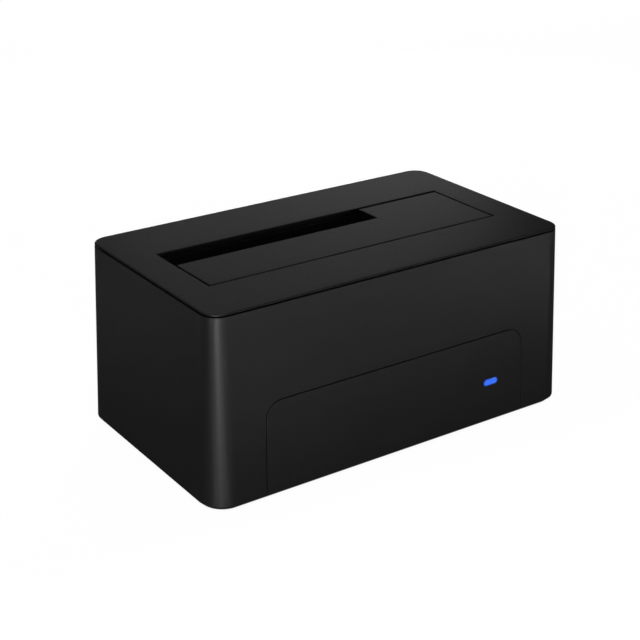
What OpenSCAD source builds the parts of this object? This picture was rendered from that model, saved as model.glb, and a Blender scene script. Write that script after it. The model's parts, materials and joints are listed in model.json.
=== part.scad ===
// Docking station for one upright hard drive, large or small
// The origin lies on the table under the middle of the housing: X right, Y back, Z up, in millimetres

/* [Housing] */
// Width of the top face
top_w = 125.8; // [120:0.1:150]
// Depth of the top face
top_d = 72; // [70:0.1:90]
// Height from the bottom rim to the top face
shell_h = 57.4; // [54:0.1:75]
// Slope of the four walls, which spread towards the table
draft = 2.54; // [1:0.02:3.5]
// Plan radius of the corners at the top face
corner_r = 5.4; // [5:0.1:9]
// Thickness of the housing walls
wall = 2.2; // [1.8:0.1:2.6]
// Rounding of the top cover's edge
edge_r = 0.4; // [0.3:0.1:1]
// Thickness of the top cover
cover_t = 2; // [1.8:0.1:2.6]
// Parting gap under the top cover's rim
seam = 0.55; // [0.1:0.05:0.8]
// Depth of that gap, up to the tongue on the walls that closes it
seam_d = 1.1; // [0.6:0.1:1.4]
// Width of the ledge inside the walls that the top cover rests on
ledge_w = 2.4; // [1.6:0.1:3]
// Thickness of that ledge
ledge_t = 1.6; // [1.2:0.1:2.4]

/* [Drive bay] */
// Width of the top cover to each side of the bay opening
bay_side = 10.95; // [9:0.05:14]
// Depth of the bay opening
bay_d = 30.2; // [29.5:0.1:33]
// How far the middle of the bay lies in front of the middle of the housing
bay_shift = 1.5; // [0:0.1:3]
// Width of the small-drive slot that the flap leaves open
slot_w = 72.4; // [71:0.1:75]
// Depth of the small-drive slot
slot_d = 11; // [10:0.1:13]
// Thickness of the guide's walls and floor
guide_t = 1.6; // [1.2:0.1:2.2]
// Room between the board and the underside of the guide's floor
floor_gap = 3; // [2.6:0.1:4]
// Height of the bosses that the guide hangs from
hanger_h = 6; // [5:0.1:9]
// Diameter of those bosses
hanger_d = 5.2; // [4.6:0.1:6]
// Distance of the guide's screws from the ends of the bay
hanger_side = 7.95; // [5:0.05:9]

/* [Flap] */
// Thickness of the flap
flap_t = 2; // [1.8:0.1:2.2]
// Gap in front of the closed flap
flap_gap = 0.4; // [0.3:0.05:0.6]
// Gap at the ends of the closed flap
end_gap = 0.65; // [0.3:0.05:0.9]
// Gap behind the closed flap
back_gap = 1.1; // [0.4:0.05:1.4]
// Distance of the hinge axis behind the flap's front edge
hinge_back = 1; // [0.8:0.05:1.3]
// Distance of the hinge axis below the flap's underside
hinge_drop = 0.2; // [0.1:0.05:0.4]
// Room between the bay opening and the guide's front wall, for the hinge
hinge_room = 0.8; // [0.6:0.05:1.4]
// Diameter of the hinge pin
pin_d = 1.5; // [1.3:0.1:1.7]
// Outer diameter of the flap's knuckles
knuckle_d = 3; // [2.7:0.1:3.2]
// Width of each knuckle
knuckle_w = 12; // [8:0.5:13]
// Distance of the inner knuckles to each side of the middle
knuckle_in = 16; // [12:0.5:18]
// Distance of the outer knuckles from the ends of the bay
knuckle_side = 8.95; // [7.5:0.05:11]
// Height of the ribs under the flap
flap_rib_h = 1.2; // [0.8:0.1:1.4]
// Thickness of those ribs
flap_rib_t = 1.2; // [0.8:0.1:1.6]
// How far the flap's stop reaches under the cover
stop_reach = 0.6; // [0.4:0.05:0.8]
// Thickness of the flap's stop
stop_t = 1; // [0.8:0.1:1.4]
// Share of the flap's back edge, between the slot and the guide's ear, that the stop takes
stop_share = 0.6; // [0.3:0.05:0.7]

/* [Flap spring] */
// Wire diameter
wire_d = 0.4; // [0.3:0.05:0.45]
// Coil diameter at the middle of the wire
coil_d = 2.15; // [2:0.05:2.2]
// Number of turns
coil_turns = 5; // [3:1:7]
// Distance between turns
coil_pitch = 0.88; // [0.86:0.01:1]
// Length of the two legs
leg_l = 7; // [5:0.5:10]

/* [Front panel] */
// Distance of the front panel's upper corners inside the left and right edges of the top face
panel_side = 15.95; // [13:0.05:22]
// Height of the front panel
panel_h = 28.2; // [24:0.1:36]
// Slope of the panel's sides, which spread towards the table
panel_flare = 1.5; // [0:0.1:3]
// Radius of the panel's upper corners
panel_r = 5.5; // [3:0.1:9]
// Gap round the front panel
panel_gap = 0.3; // [0.2:0.05:0.5]
// Thickness of the flange behind the housing wall
flange_t = 1.4; // [1:0.1:2]
// Overlap of that flange behind the housing wall
flange_w = 2.2; // [1.5:0.1:4]
// Width of the status window
lens_w = 5.4; // [4:0.1:8]
// Height of the status window
lens_h = 2.1; // [1.6:0.1:3]
// Distance of the status window inside the panel's upper right corner
lens_side = 12.15; // [9:0.05:19]
// Height of the status window above the bottom rim
lens_z = 12.65; // [11.6:0.05:16]

/* [Base] */
// Thickness of the base plate
base_t = 2.2; // [1.8:0.1:3]
// How far the base plate lies inside the bottom rim
base_in = 0.3; // [0:0.1:0.8]
// Height of the posts that carry the board
post_h = 4.3; // [3.5:0.1:6]
// Diameter of those posts
post_d = 6; // [5:0.1:7]
// Diameter of the rubber feet
foot_d = 11; // [8:0.5:14]
// Height of the feet below the bottom rim
foot_h = 1.2; // [0.8:0.1:3]
// Depth of the feet's recesses in the base plate
foot_in = 0.8; // [0.5:0.1:1]
// Distance of the feet inside the left and right edges of the top face
foot_side = 14.9; // [13:0.1:24]
// Distance of the feet inside the front and back edges of the top face
foot_end = 11; // [9:0.1:16]
// Number of ventilation slots in each row
vent_n = 9; // [5:1:11]
// Length of the ventilation slots
vent_l = 14; // [8:0.5:16]
// Width of the ventilation slots
vent_w = 1.8; // [1.2:0.1:2.4]
// Distance between ventilation slots
vent_pitch = 5; // [4:0.1:6]

/* [Board] */
// Thickness of the circuit board
board_t = 1.6; // [1.2:0.1:2]
// Distance of the circuit board's ends inside the left and right edges of the top face
board_side = 13.9; // [12:0.1:15]
// Distance of the board's front edge in front of the housing's middle
board_front = 9; // [8:0.5:14]
// Width of the arm that carries the status light
arm_w = 14; // [9:0.5:18]

/* [Drive connector] */
// Distance of the connector's middle from the left wall of the bay
sata_in = 31.6; // [28:0.1:34]
// Distance of the connector's slots from the back wall of the bay
sata_back = 4; // [3.8:0.1:4.6]
// Height of the connector above the board
sata_h = 8.8; // [8:0.1:10]
// Depth of the connector's body, front to back
sata_d = 5.6; // [5.2:0.1:6]
// Distance between contacts
sata_pitch = 1.27; // [1.2:0.01:1.3]
// Distance between the power and the data contacts
sata_split = 6.35; // [6.2:0.05:6.6]
// Width of the slots for the drive's tongues
tongue_slot = 1.5; // [1.3:0.05:1.7]
// Depth of those slots
tongue_depth = 6.2; // [5:0.1:6.8]

/* [Ports] */
// Height of the ports' axes above the board
port_h = 6; // [5.8:0.1:6.8]
// Depth of the shallow recess round the ports
port_recess = 1; // [0.6:0.1:1.2]
// Distance of the power inlet from the circuit board's right end
dc_side = 13; // [11:0.5:19]
// Distance of the data port right of the middle
usb_x = 12; // [8:0.5:18]
// Distance of the power button left of the middle
button_x = 14; // [8:0.5:18]
// Diameter of the power inlet's bore
dc_bore_d = 6.3; // [6:0.1:6.6]
// Diameter of the power inlet's pin
dc_pin_d = 2; // [1.6:0.1:2.5]
// Diameter of the power button
button_d = 7; // [6:0.1:8]
// Travel of the power button
button_travel = 2; // [1.5:0.1:2.4]

/* [Screws] */
// Shank diameter of the base plate's screws
base_screw_d = 2.6; // [2.2:0.1:3]
// Length of the base plate's screws
base_screw_l = 9; // [7:0.5:12]
// Shank diameter of the board's screws
board_screw_d = 2.2; // [2:0.1:2.6]
// Length of the board's screws
board_screw_l = 5; // [4:0.1:5.2]
// Shank diameter of the guide's screws
guide_screw_d = 2.2; // [2:0.1:2.6]
// Length of the guide's screws
guide_screw_l = 6; // [5:0.5:7]

/* [Hidden] */
$fn = 64;
// Overlap that fuses features of one piece, and the overrun of cuts
weld = 0.5;
// Gap of a piece that slips into another
slip = 0.15;
// Radial gap of a screw's shank in its hole
thread_gap = 0.05;
// Radial gap of the hinge pin in the knuckles
run_gap = 0.05;
// Radial gap of the hinge pin in the cover's lugs
seat_gap = 0.03;
// Gap between moving pieces that don't touch
move_gap = 0.3;

// Heights of the main levels
z_rim = foot_h;
z_top = z_rim + shell_h;
z_cover = z_top - cover_t;
z_seam = z_top - edge_r - seam;
z_tongue = z_top - edge_r - min(slip, seam);
z_base = z_rim + base_in;
z_base_top = z_base + base_t;
z_board = z_base_top + post_h;
z_board_top = z_board + board_t;
z_floor = z_board_top + floor_gap + guide_t;
z_port = z_board_top + port_h;
z_lens = z_rim + lens_z;

// Outline of the housing at a height, drawn in by an inset
corner_x = top_w / 2 - corner_r;
corner_y = top_d / 2 - corner_r;
function spread(z) = (z_top - z) * tan(draft);
function wall_x(z, inset) = top_w / 2 + spread(z) - inset;
function wall_y(z, inset) = top_d / 2 + spread(z) - inset;
function wall_r(z, inset) = corner_r + spread(z) - inset;

// Front panel's half width at its upper corners, and the place of the status window
panel_x = top_w / 2 - panel_side;
lens_x = panel_x - lens_side;

// Steps of the quarter round on the top cover's edge
edge_steps = 8;
edge_profile = [
    for (i = [0 : edge_steps])
        let (a = 90 * i / edge_steps)
        [edge_r * (1 - cos(a)), z_top - edge_r * (1 - sin(a))]
];

// Bay and flap in plan
bay_x = top_w / 2 - bay_side;
bay_front = -bay_shift - bay_d / 2;
bay_back = -bay_shift + bay_d / 2;
guide_front = bay_front - hinge_room;
flap_x = bay_x - end_gap;
flap_front = bay_front + flap_gap;
flap_back = bay_back - back_gap;
slot_right = -bay_x + slot_w;
slot_front = bay_back - slot_d;
z_flap = z_top - flap_t;
hinge_y = flap_front + hinge_back;
hinge_z = z_flap - hinge_drop;
pin_r = pin_d / 2;
knuckle_r = knuckle_d / 2;
knuckle_out = bay_x - knuckle_side;
knuckles = [-knuckle_out, -knuckle_in, knuckle_in, knuckle_out];

// Lugs under the cover that hold the ends of the hinge pin
lug_w = 3.5;
lug_d = 4.4;
lug_drop = 2.2;
// Lip that is left over the knuckles at the opening's front edge
hinge_lip_t = 0.9;
hinge_relief = 1;

// Path of the spring's wire, midway between two knuckles: up the front, over the top and out at the back
spring_x = (knuckle_in + knuckle_out) / 2;
coil_start = 180;
coil_end = 30;
coil_sweep = 360 * coil_turns + coil_start - coil_end;
coil_l = coil_pitch * coil_sweep / 360;
spring_room = coil_l + 2 * wire_d + 2 * slip;
spring_r = (coil_d + wire_d) / 2 + slip;
wire_sides = 6;
coil_steps = 12;
coil_n = coil_steps * coil_sweep / 360;
coil_path = [
    for (i = [0 : coil_n])
        let (a = coil_start - coil_sweep * i / coil_n)
        [
            spring_x - coil_l / 2 + coil_l * i / coil_n,
            hinge_y + coil_d / 2 * cos(a),
            hinge_z + coil_d / 2 * sin(a)
        ]
];
leg_down = [spring_x - coil_l / 2, guide_front + wire_d / 2 + slip, hinge_z - leg_l];
leg_z = z_flap - wire_d / 2 - slip;
leg_bend = [spring_x + coil_l / 2, hinge_y + spring_r, leg_z];
leg_back = [spring_x + coil_l / 2, hinge_y + leg_l, leg_z];
spring_path = concat([leg_down], coil_path, [leg_bend, leg_back]);

// Least gap of the spring to itself, between points at least three quarters of a turn apart
apart = coil_steps * 3 / 4;
point_gaps = [for (i = [0 : coil_n - apart], j = [i + apart : coil_n]) norm(coil_path[i] - coil_path[j])];
self_gap = min(point_gaps) - wire_d;

// Bosses, ears and screws that hang the guide from the cover
ear_t = 2;
ear_w = 7;
ear_out = 3.4;
z_ear = z_cover - hanger_h - ear_t;
hanger_x = bay_x - hanger_side;
hanger_front = guide_front - guide_t - ear_out;
hanger_back = bay_back + guide_t + ear_out;
hangers = [for (x = [-hanger_x, hanger_x], y = [hanger_front, hanger_back]) [x, y]];
hanger_bore = guide_screw_l - ear_t + weld;

// Stop under the back edge of the flap, and the window in the guide that it swings through
stop_web = 1.4;
stop_room = hanger_x - ear_w / 2 - slot_right;
stop_x0 = slot_right + stop_room * (1 - stop_share) / 2;
stop_x1 = stop_x0 + stop_room * stop_share;
stop_front = flap_back - stop_web;
stop_back = bay_back + stop_reach;
stop_gap = 0.1;
z_stop = z_cover - stop_gap;
z_stop_low = z_stop - stop_t;
stop_tip = norm([stop_back - hinge_y, hinge_z - z_stop_low]);
window_h = sqrt(pow(stop_tip, 2) - pow(bay_back - move_gap - hinge_y, 2)) + stop_t;

// Snap hooks under the cover
hook_w = 6;
hook_t = 1.4;
hook_nose = 1;
hook_drop = 1.6;
hook_x = 30;

// Bosses inside the housing for the base plate's screws
boss_d = 6;
boss_in = 5;
boss_h = 14;
boss_rib = 1.6;
boss_x = wall_x(z_base_top, wall) - boss_in;
boss_y = wall_y(z_base_top, wall) - boss_in;
bosses = [for (x = [-boss_x, boss_x], y = [-boss_y, boss_y]) [x, y]];

// Places of the feet
foot_x = top_w / 2 - foot_side;
foot_y = top_d / 2 - foot_end;

// Screw heads and the clearance of their holes
head_d = 5;
head_h = 1.6;
head_gap = 0.2;
shank_gap = 0.2;
head_in = 1;

// Circuit board
board_x = top_w / 2 - board_side;
board_edge = 1.5;
board_back = wall_y(z_board, wall) - board_edge;
// Status light, and the arm that reaches to it
led_d = 3.4;
led_w = 4.4;
led_dome = 1.5;
led_dome_l = 0.9;
lens_collar = 1;
lens_gap = 0.1;
led_front = -wall_y(z_lens, wall + flange_t + lens_collar) + led_dome_l + move_gap;
arm_front = led_front - weld;
// Board posts, set in from the board's edges
post_in = 4;
post_x = board_x - post_in;
post_front = post_in - board_front;
post_back = board_back - post_in;
posts = [for (x = [-post_x, post_x], y = [post_front, post_back]) [x, y]];

// Sizes of the parts on the board, and the row of inductors and capacitors behind the guide
bridge_size = [9, 9, 0.9];
regulator_size = [5, 4, 1.6];
crystal_size = [3.2, 2.5, 0.8];
inductor_size = [7, 7, 3.5];
can_d = 6.3;
can_h = 7.6;
can_foot = [6.6, 6.6, 0.8];
part_step = 8.6;
part_gap = 0.6;
row_y = bay_back + guide_t + part_gap + inductor_size[1] / 2;
row_x = part_step + post_d / 2 - board_x;

// Drive connector
data_n = 7;
power_n = 15;
sata_x = -bay_x + sata_in;
sata_y = bay_back - sata_back;
power_l = (power_n - 1) * sata_pitch;
data_l = (data_n - 1) * sata_pitch;
sata_span = power_l + sata_split + data_l;
power_x = sata_x - sata_span / 2;
data_x = power_x + power_l + sata_split;
// Slots' overrun past the contacts and their keys, the body's ends and feet
tongue_end = 1.4;
tongue_key = 1.5;
tongue_key_d = 1.1;
sata_end = 4.4;
sata_w = sata_span + 2 * sata_end;
sata_lift = 0.3;
sata_foot = 1.5;
// Hole in the guide's floor round the connector
sata_floor_gap = 0.4;
sata_hole = [sata_w + 2 * sata_floor_gap, sata_d + 2 * sata_floor_gap];
// Contact leaves: width, thickness, gap in their channels, bow and foot
leaf_w = 0.7;
leaf_t = 0.25;
leaf_gap = 0.05;
leaf_tip = 1.2;
leaf_bow = 0.3;
leaf_foot = 0.9;
contact_x = concat(
    [for (i = [0 : power_n - 1]) power_x + i * sata_pitch],
    [for (i = [0 : data_n - 1]) data_x + i * sata_pitch]
);

// Recess on the back wall and what stands in it
port_y = wall_y(z_port, 0) - port_recess;
recess_side = 9;
recess_up = 8;
recess_down = 7.4;
// Data port: lower part, sloping shoulders, upper part, metal skin, tongues and contact strips
usb_w = 8.5;
usb_h = 6.2;
usb_chamfer = 1.3;
usb_turn = 45;
usb_top_w = 5.9;
usb_top_h = 3.1;
usb_skin = 0.35;
usb_l = 16;
usb_lift = 0.2;
usb_gap = 0.25;
usb_tongue_w = 5.6;
usb_tongue_h = 3.2;
usb_tongue_z = 2.3;
usb_tongue_in = 1;
usb_upper_w = 4.2;
usb_upper_h = 1.1;
usb_upper_z = 8.5;
usb_block_l = 7;
usb_fit = 0.05;
usb_strip_t = 0.15;
usb_strip_in = 0.6;
z_usb = z_board_top + usb_lift + usb_skin;
// Power inlet: body, round nose, bore and the pin's seat
dc_x = board_x - dc_side;
dc_w = 9;
dc_l = 13;
dc_nose_d = 8.6;
dc_up = 4.8;
dc_bore_l = 9.5;
dc_pin_in = 0.5;
dc_seat_d = 1.4;
dc_seat_l = 2;
dc_gap = 0.2;
// Power switch, and the button's stem and cap
switch_w = 8.4;
switch_l = 10;
switch_up = 4;
stem_d = 3;
stem_l = 5.5;
cap_out = 1;
cap_l = 4.6;
button_back = port_y + cap_out - cap_l;
switch_back = button_back - button_travel - move_gap;
stem_end = button_back - stem_l;

black = "#26272a";
soft_black = "#1d1e20";
steel = "#b9bcc0";
gold = "#d8b45a";
green = "#1f5a3c";

// Box from its lowest to its highest corner
module box(low, high) {
    translate(low)
        cube(high - low);
}

// Rod along X between two places
module rod_x(x0, x1, r) {
    translate([x0, 0, 0])
        rotate([0, 90, 0])
            cylinder(h = x1 - x0, r = r);
}

// Rod along Y between two places
module rod_y(y0, y1, r) {
    translate([0, y0, 0])
        rotate([-90, 0, 0])
            cylinder(h = y1 - y0, r = r);
}

// Outline in X and Z, carried along Y
module carry_y(y0, y1) {
    translate([0, y1, 0])
        rotate([90, 0, 0])
            linear_extrude(y1 - y0)
                children();
}

// Outline in Y and Z, carried along X
module carry_x(x0, x1) {
    translate([x0, 0, 0])
        rotate([90, 0, 90])
            linear_extrude(x1 - x0)
                children();
}

// Closed form of the housing, from [inset, height] steps: two crossed wall profiles and four turned corners
module housing_form(steps) {
    last = len(steps) - 1;
    along_y = [for (s = steps) [wall_y(s[1], s[0]), s[1]]];
    along_x = [for (s = steps) [wall_x(s[1], s[0]), s[1]]];
    turned = [for (s = steps) [wall_r(s[1], s[0]), s[1]]];
    carry_x(-corner_x, corner_x)
        polygon(concat(along_y, [for (i = [last : -1 : 0]) [-along_y[i][0], along_y[i][1]]]));
    carry_y(-corner_y, corner_y)
        polygon(concat(along_x, [for (i = [last : -1 : 0]) [-along_x[i][0], along_x[i][1]]]));
    for (quarter = [0 : 3])
        let (side_x = (quarter == 0 || quarter == 3) ? 1 : -1, side_y = quarter < 2 ? 1 : -1)
        translate([side_x * corner_x, side_y * corner_y, 0])
            rotate(90 * quarter)
                rotate_extrude(angle = 90)
                    polygon(concat([[0, steps[0][1]]], turned, [[0, steps[last][1]]]));
}

// Housing form at one inset between two heights
module housing_block(inset, z0, z1) {
    housing_form([[inset, z0], [inset, z1]]);
}

// Front panel outline in X and Z, let out by a margin
module panel_outline(margin) {
    foot_half = panel_x + panel_h * tan(panel_flare) + margin;
    hull() {
        translate([-foot_half, z_rim - weld])
            square([2 * foot_half, weld]);
        for (side = [-1, 1])
            translate([side * (panel_x - panel_r), z_rim + panel_h - panel_r])
                circle(panel_r + margin);
    }
}

// Slice of the front wall between two insets and two heights
module front_slice(inset0, inset1, z0, z1) {
    carry_x(-corner_x, corner_x)
        polygon([
            [-wall_y(z0, inset0), z0],
            [-wall_y(z0, inset1), z0],
            [-wall_y(z1, inset1), z1],
            [-wall_y(z1, inset0), z1]
        ]);
}

// Slice of the front wall inside the front panel's outline
module panel_slice(inset0, inset1, z0, z1, margin) {
    intersection() {
        front_slice(inset0, inset1, z0, z1);
        carry_y(-top_d, 0)
            panel_outline(margin);
    }
}

// Status window outline in X and Z
module lens_outline(margin) {
    translate([lens_x, z_lens])
        hull()
            for (side = [-1, 1])
                translate([side * (lens_w - lens_h) / 2, 0])
                    circle(lens_h / 2 + margin, $fn = 32);
}

// Data port outline in X and Z, let out by a margin
module usb_outline(margin) {
    half = usb_w / 2 + margin;
    top_half = usb_top_w / 2 + margin;
    bevel = margin * tan(usb_turn / 2);
    shoulder = usb_h + bevel;
    neck = shoulder + usb_chamfer;
    crown = usb_h + usb_chamfer + usb_top_h + margin;
    translate([usb_x, z_usb])
        polygon([
            [-half, -margin], [half, -margin], [half, shoulder], [top_half, neck],
            [top_half, crown], [-top_half, crown], [-top_half, neck], [-half, shoulder]
        ]);
}

// Screw along Z with its head's seat at the origin and its shank pointing up
module screw(shank_d, shank_l) {
    tip = shank_d / 4;
    rotate_extrude()
        polygon([
            [0, -head_h], [head_d / 2 - head_h / 4, -head_h], [head_d / 2, -head_h / 2], [head_d / 2, 0],
            [shank_d / 2, 0], [shank_d / 2, shank_l - tip], [shank_d / 2 - tip, shank_l], [0, shank_l]
        ]);
}

// Drafted hood with its tongue and ledge, screw bosses, panel cut-out and port holes
module housing_shell() {
    color(black)
        difference() {
            union() {
                difference() {
                    union() {
                        housing_block(0, z_rim, z_seam);
                        housing_block(seam_d, z_seam - weld, z_tongue);
                    }
                    housing_block(wall, z_rim - weld, z_tongue + weld);
                    carry_y(-top_d, -corner_y)
                        panel_outline(panel_gap / 2);
                    port_cuts();
                }
                difference() {
                    housing_block(wall - weld, z_cover - ledge_t, z_cover);
                    housing_block(wall + ledge_w, z_cover - ledge_t - weld, z_cover + weld);
                }
                for (p = bosses)
                    base_boss(p);
            }
            for (p = bosses)
                translate([p[0], p[1], z_base_top - weld])
                    cylinder(h = base_screw_l + weld, r = base_screw_d / 2 + thread_gap);
        }
}

// Boss for a base screw, with a rib to each of the two walls beside it
module base_boss(p) {
    z1 = z_base_top + boss_h;
    z_mid = (z_base_top + z1) / 2;
    end_x = sign(p[0]) * wall_x(z_mid, wall / 2);
    end_y = sign(p[1]) * wall_y(z_mid, wall / 2);
    half = boss_rib / 2;
    translate([p[0], p[1], z_base_top])
        cylinder(h = boss_h, d = boss_d);
    box([min(p[0], end_x), p[1] - half, z_base_top], [max(p[0], end_x), p[1] + half, z1]);
    box([p[0] - half, min(p[1], end_y), z_base_top], [p[0] + half, max(p[1], end_y), z1]);
}

// Shallow recess on the back wall and the holes of the ports and the button
module port_cuts() {
    box(
        [-button_x - recess_side, port_y, z_port - recess_down],
        [dc_x + recess_side, top_d, z_port + recess_up]
    );
    carry_y(corner_y, top_d)
        usb_outline(usb_skin + usb_gap);
    translate([dc_x, 0, z_port])
        rod_y(corner_y, top_d, dc_nose_d / 2 + dc_gap);
    translate([-button_x, 0, z_port])
        rod_y(corner_y, top_d, button_d / 2 + move_gap);
}

// Top plate with its rounded edge, hinge lugs, guide bosses and snap hooks
module top_cover() {
    color(black)
        difference() {
            union() {
                difference() {
                    union() {
                        housing_form(edge_profile);
                        housing_block(wall + slip, z_cover, z_top - edge_r);
                    }
                    box([-bay_x, bay_front, z_cover - weld], [bay_x, bay_back, z_top + weld]);
                    box(
                        [-bay_x, bay_front - hinge_relief, z_cover - weld],
                        [bay_x, bay_front + weld, z_top - hinge_lip_t]
                    );
                }
                for (x = [-bay_x - lug_w, bay_x])
                    box(
                        [x, hinge_y - lug_d / 2, hinge_z - lug_drop],
                        [x + lug_w, hinge_y + lug_d / 2, z_cover + weld]
                    );
                for (p = hangers)
                    translate([p[0], p[1], z_cover - hanger_h])
                        cylinder(h = hanger_h + weld, d = hanger_d);
                cover_hooks();
            }
            translate([0, hinge_y, hinge_z])
                rod_x(-bay_x - lug_w - weld, bay_x + lug_w + weld, pin_r + seat_gap);
            for (p = hangers)
                translate([p[0], p[1], z_cover - hanger_h - weld])
                    cylinder(h = hanger_bore + weld, r = guide_screw_d / 2 + thread_gap);
        }
}

// Hooks that snap under the housing's ledge: two at the front, two at the back, one at each end
module cover_hooks() {
    reach_x = wall_x(z_cover, wall + ledge_w + slip);
    reach_y = wall_y(z_cover, wall + ledge_w + slip);
    for (side = [-1, 1]) {
        for (x = [-hook_x, hook_x])
            translate([x, side * reach_y, z_cover])
                rotate(side * 90)
                    cover_hook();
        translate([side * reach_x, 0, z_cover])
            rotate(side > 0 ? 0 : 180)
                cover_hook();
    }
}

// One snap hook, pointing along +X, with its root at the origin
module cover_hook() {
    z_nose = -ledge_t - stop_gap;
    z_end = z_nose - hook_drop;
    translate([0, hook_w / 2, 0])
        rotate([90, 0, 0])
            linear_extrude(hook_w)
                polygon([
                    [-hook_t, weld], [0, weld], [0, z_nose], [hook_nose, z_nose],
                    [0, z_end], [-hook_t, z_end]
                ]);
}

// Well that guides the drive down to its connector
module drive_guide() {
    color(soft_black)
        difference() {
            union() {
                box(
                    [-bay_x - guide_t, guide_front - guide_t, z_floor - guide_t],
                    [bay_x + guide_t, bay_back + guide_t, z_cover]
                );
                for (p = hangers)
                    guide_ear(p);
            }
            box([-bay_x, guide_front, z_floor], [bay_x, bay_back, z_cover + weld]);
            box(
                [sata_x - sata_hole[0] / 2, sata_y - sata_hole[1] / 2, z_floor - guide_t - weld],
                [sata_x + sata_hole[0] / 2, sata_y + sata_hole[1] / 2, z_floor + weld]
            );
            for (x = [-bay_x - guide_t, bay_x])
                box(
                    [x - weld, hinge_y - lug_d / 2 - move_gap, hinge_z - lug_drop - move_gap],
                    [x + guide_t + weld, hinge_y + lug_d / 2 + move_gap, z_cover + weld]
                );
            box(
                [stop_x0 - move_gap, bay_back - weld, z_stop - window_h],
                [stop_x1 + move_gap, bay_back + guide_t + weld, z_cover + weld]
            );
            for (p = hangers)
                translate([p[0], p[1], z_ear - weld])
                    cylinder(h = ear_t + 2 * weld, r = guide_screw_d / 2 + shank_gap);
        }
}

// Ear of the guide under one of the cover's bosses
module guide_ear(p) {
    front = p[1] < 0;
    y_wall = front ? guide_front - weld : bay_back + weld;
    y_end = p[1] + (front ? -1 : 1) * ear_out;
    box(
        [p[0] - ear_w / 2, min(y_wall, y_end), z_ear],
        [p[0] + ear_w / 2, max(y_wall, y_end), z_ear + ear_t]
    );
}

// L-shaped flap with knuckles along its front edge, ribs and the stop under its back edge
module drive_flap() {
    z_rib = z_flap - flap_rib_h;
    rib_back = slot_front - flap_rib_t;
    color(black)
        difference() {
            union() {
                translate([0, 0, z_flap])
                    linear_extrude(flap_t)
                        polygon([
                            [-flap_x, flap_front], [flap_x, flap_front], [flap_x, flap_back],
                            [slot_right, flap_back], [slot_right, slot_front], [-flap_x, slot_front]
                        ]);
                for (x = knuckles)
                    translate([x, hinge_y, hinge_z])
                        rod_x(-knuckle_w / 2, knuckle_w / 2, knuckle_r);
                box([-flap_x, rib_back, z_rib], [slot_right + flap_rib_t, slot_front, z_flap + weld]);
                box([slot_right, rib_back, z_rib], [slot_right + flap_rib_t, flap_back, z_flap + weld]);
                box([stop_x0, stop_front, z_stop_low], [stop_x1, flap_back, z_flap + weld]);
                box([stop_x0, stop_front, z_stop_low], [stop_x1, stop_back, z_stop]);
            }
            translate([0, hinge_y, hinge_z]) {
                rod_x(-bay_x, bay_x, pin_r + run_gap);
                for (gap = knuckle_gaps())
                    rod_x(gap[0], gap[1], pin_r + move_gap);
                rod_x(spring_x - spring_room / 2, spring_x + spring_room / 2, spring_r);
            }
        }
}

// Stretches of the hinge line between the knuckles, from left to right
function knuckle_gaps() =
    let (
        starts = concat([-bay_x], [for (x = knuckles) x + knuckle_w / 2]),
        ends = concat([for (x = knuckles) x - knuckle_w / 2], [bay_x])
    )
    [for (i = [0 : len(starts) - 1]) [starts[i], ends[i]]];

// Steel rod that the flap turns on
module hinge_pin() {
    color(steel)
        translate([0, hinge_y, hinge_z])
            rod_x(-bay_x - lug_w, bay_x + lug_w, pin_r);
}

// Unit tangent of a path at one of its points
function path_tangent(path, i) =
    let (d = path[min(i + 1, len(path) - 1)] - path[max(i - 1, 0)])
    d / norm(d);

// Ring of points round a path at one of its points, laid out from the X direction
function path_ring(path, i, r, sides) =
    let (
        t = path_tangent(path, i),
        u0 = [1, 0, 0] - t[0] * t,
        u = u0 / norm(u0),
        v = cross(t, u)
    )
    [for (k = [0 : sides - 1]) path[i] + r * cos(360 * k / sides) * u + r * sin(360 * k / sides) * v];

// Round wire swept along a path
module wire(path, r, sides) {
    last = len(path) - 1;
    points = [for (i = [0 : last]) each path_ring(path, i, r, sides)];
    walls = [
        for (i = [0 : last - 1], k = [0 : sides - 1])
            let (a = i * sides + k, b = i * sides + (k + 1) % sides)
            each [[a + sides, b, a], [a + sides, b + sides, b]]
    ];
    ends = [
        [for (k = [0 : sides - 1]) k],
        [for (k = [sides - 1 : -1 : 0]) last * sides + k]
    ];
    polyhedron(points, concat(walls, ends));
}

// Torsion spring: one wire, with a leg down the guide's front wall and a leg under the flap
module flap_spring() {
    echo(least_spring_gap = self_gap);
    color(steel)
        wire(spring_path, wire_d / 2, wire_sides);
}

// Tongue-shaped panel in the front wall, with a flange behind the wall that stands on the base plate
module front_panel() {
    color(black)
        difference() {
            union() {
                panel_slice(0, wall, z_rim, z_base_top + weld, -panel_gap / 2);
                panel_slice(0, wall + flange_t / 2, z_base_top, z_top, -panel_gap / 2);
                panel_slice(wall, wall + flange_t, z_base_top, z_top, flange_w);
            }
            carry_y(-top_d, 0)
                lens_outline(lens_gap);
        }
}

// Clear window of the status light, held by its collar behind the panel
module light_pipe() {
    color("#9cc4ff") {
        intersection() {
            front_slice(0, wall + flange_t + lens_collar / 2, z_rim, z_top);
            carry_y(-top_d, 0)
                lens_outline(0);
        }
        intersection() {
            front_slice(wall + flange_t, wall + flange_t + lens_collar, z_rim, z_top);
            carry_y(-top_d, 0)
                lens_outline(lens_collar);
        }
    }
}

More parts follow.
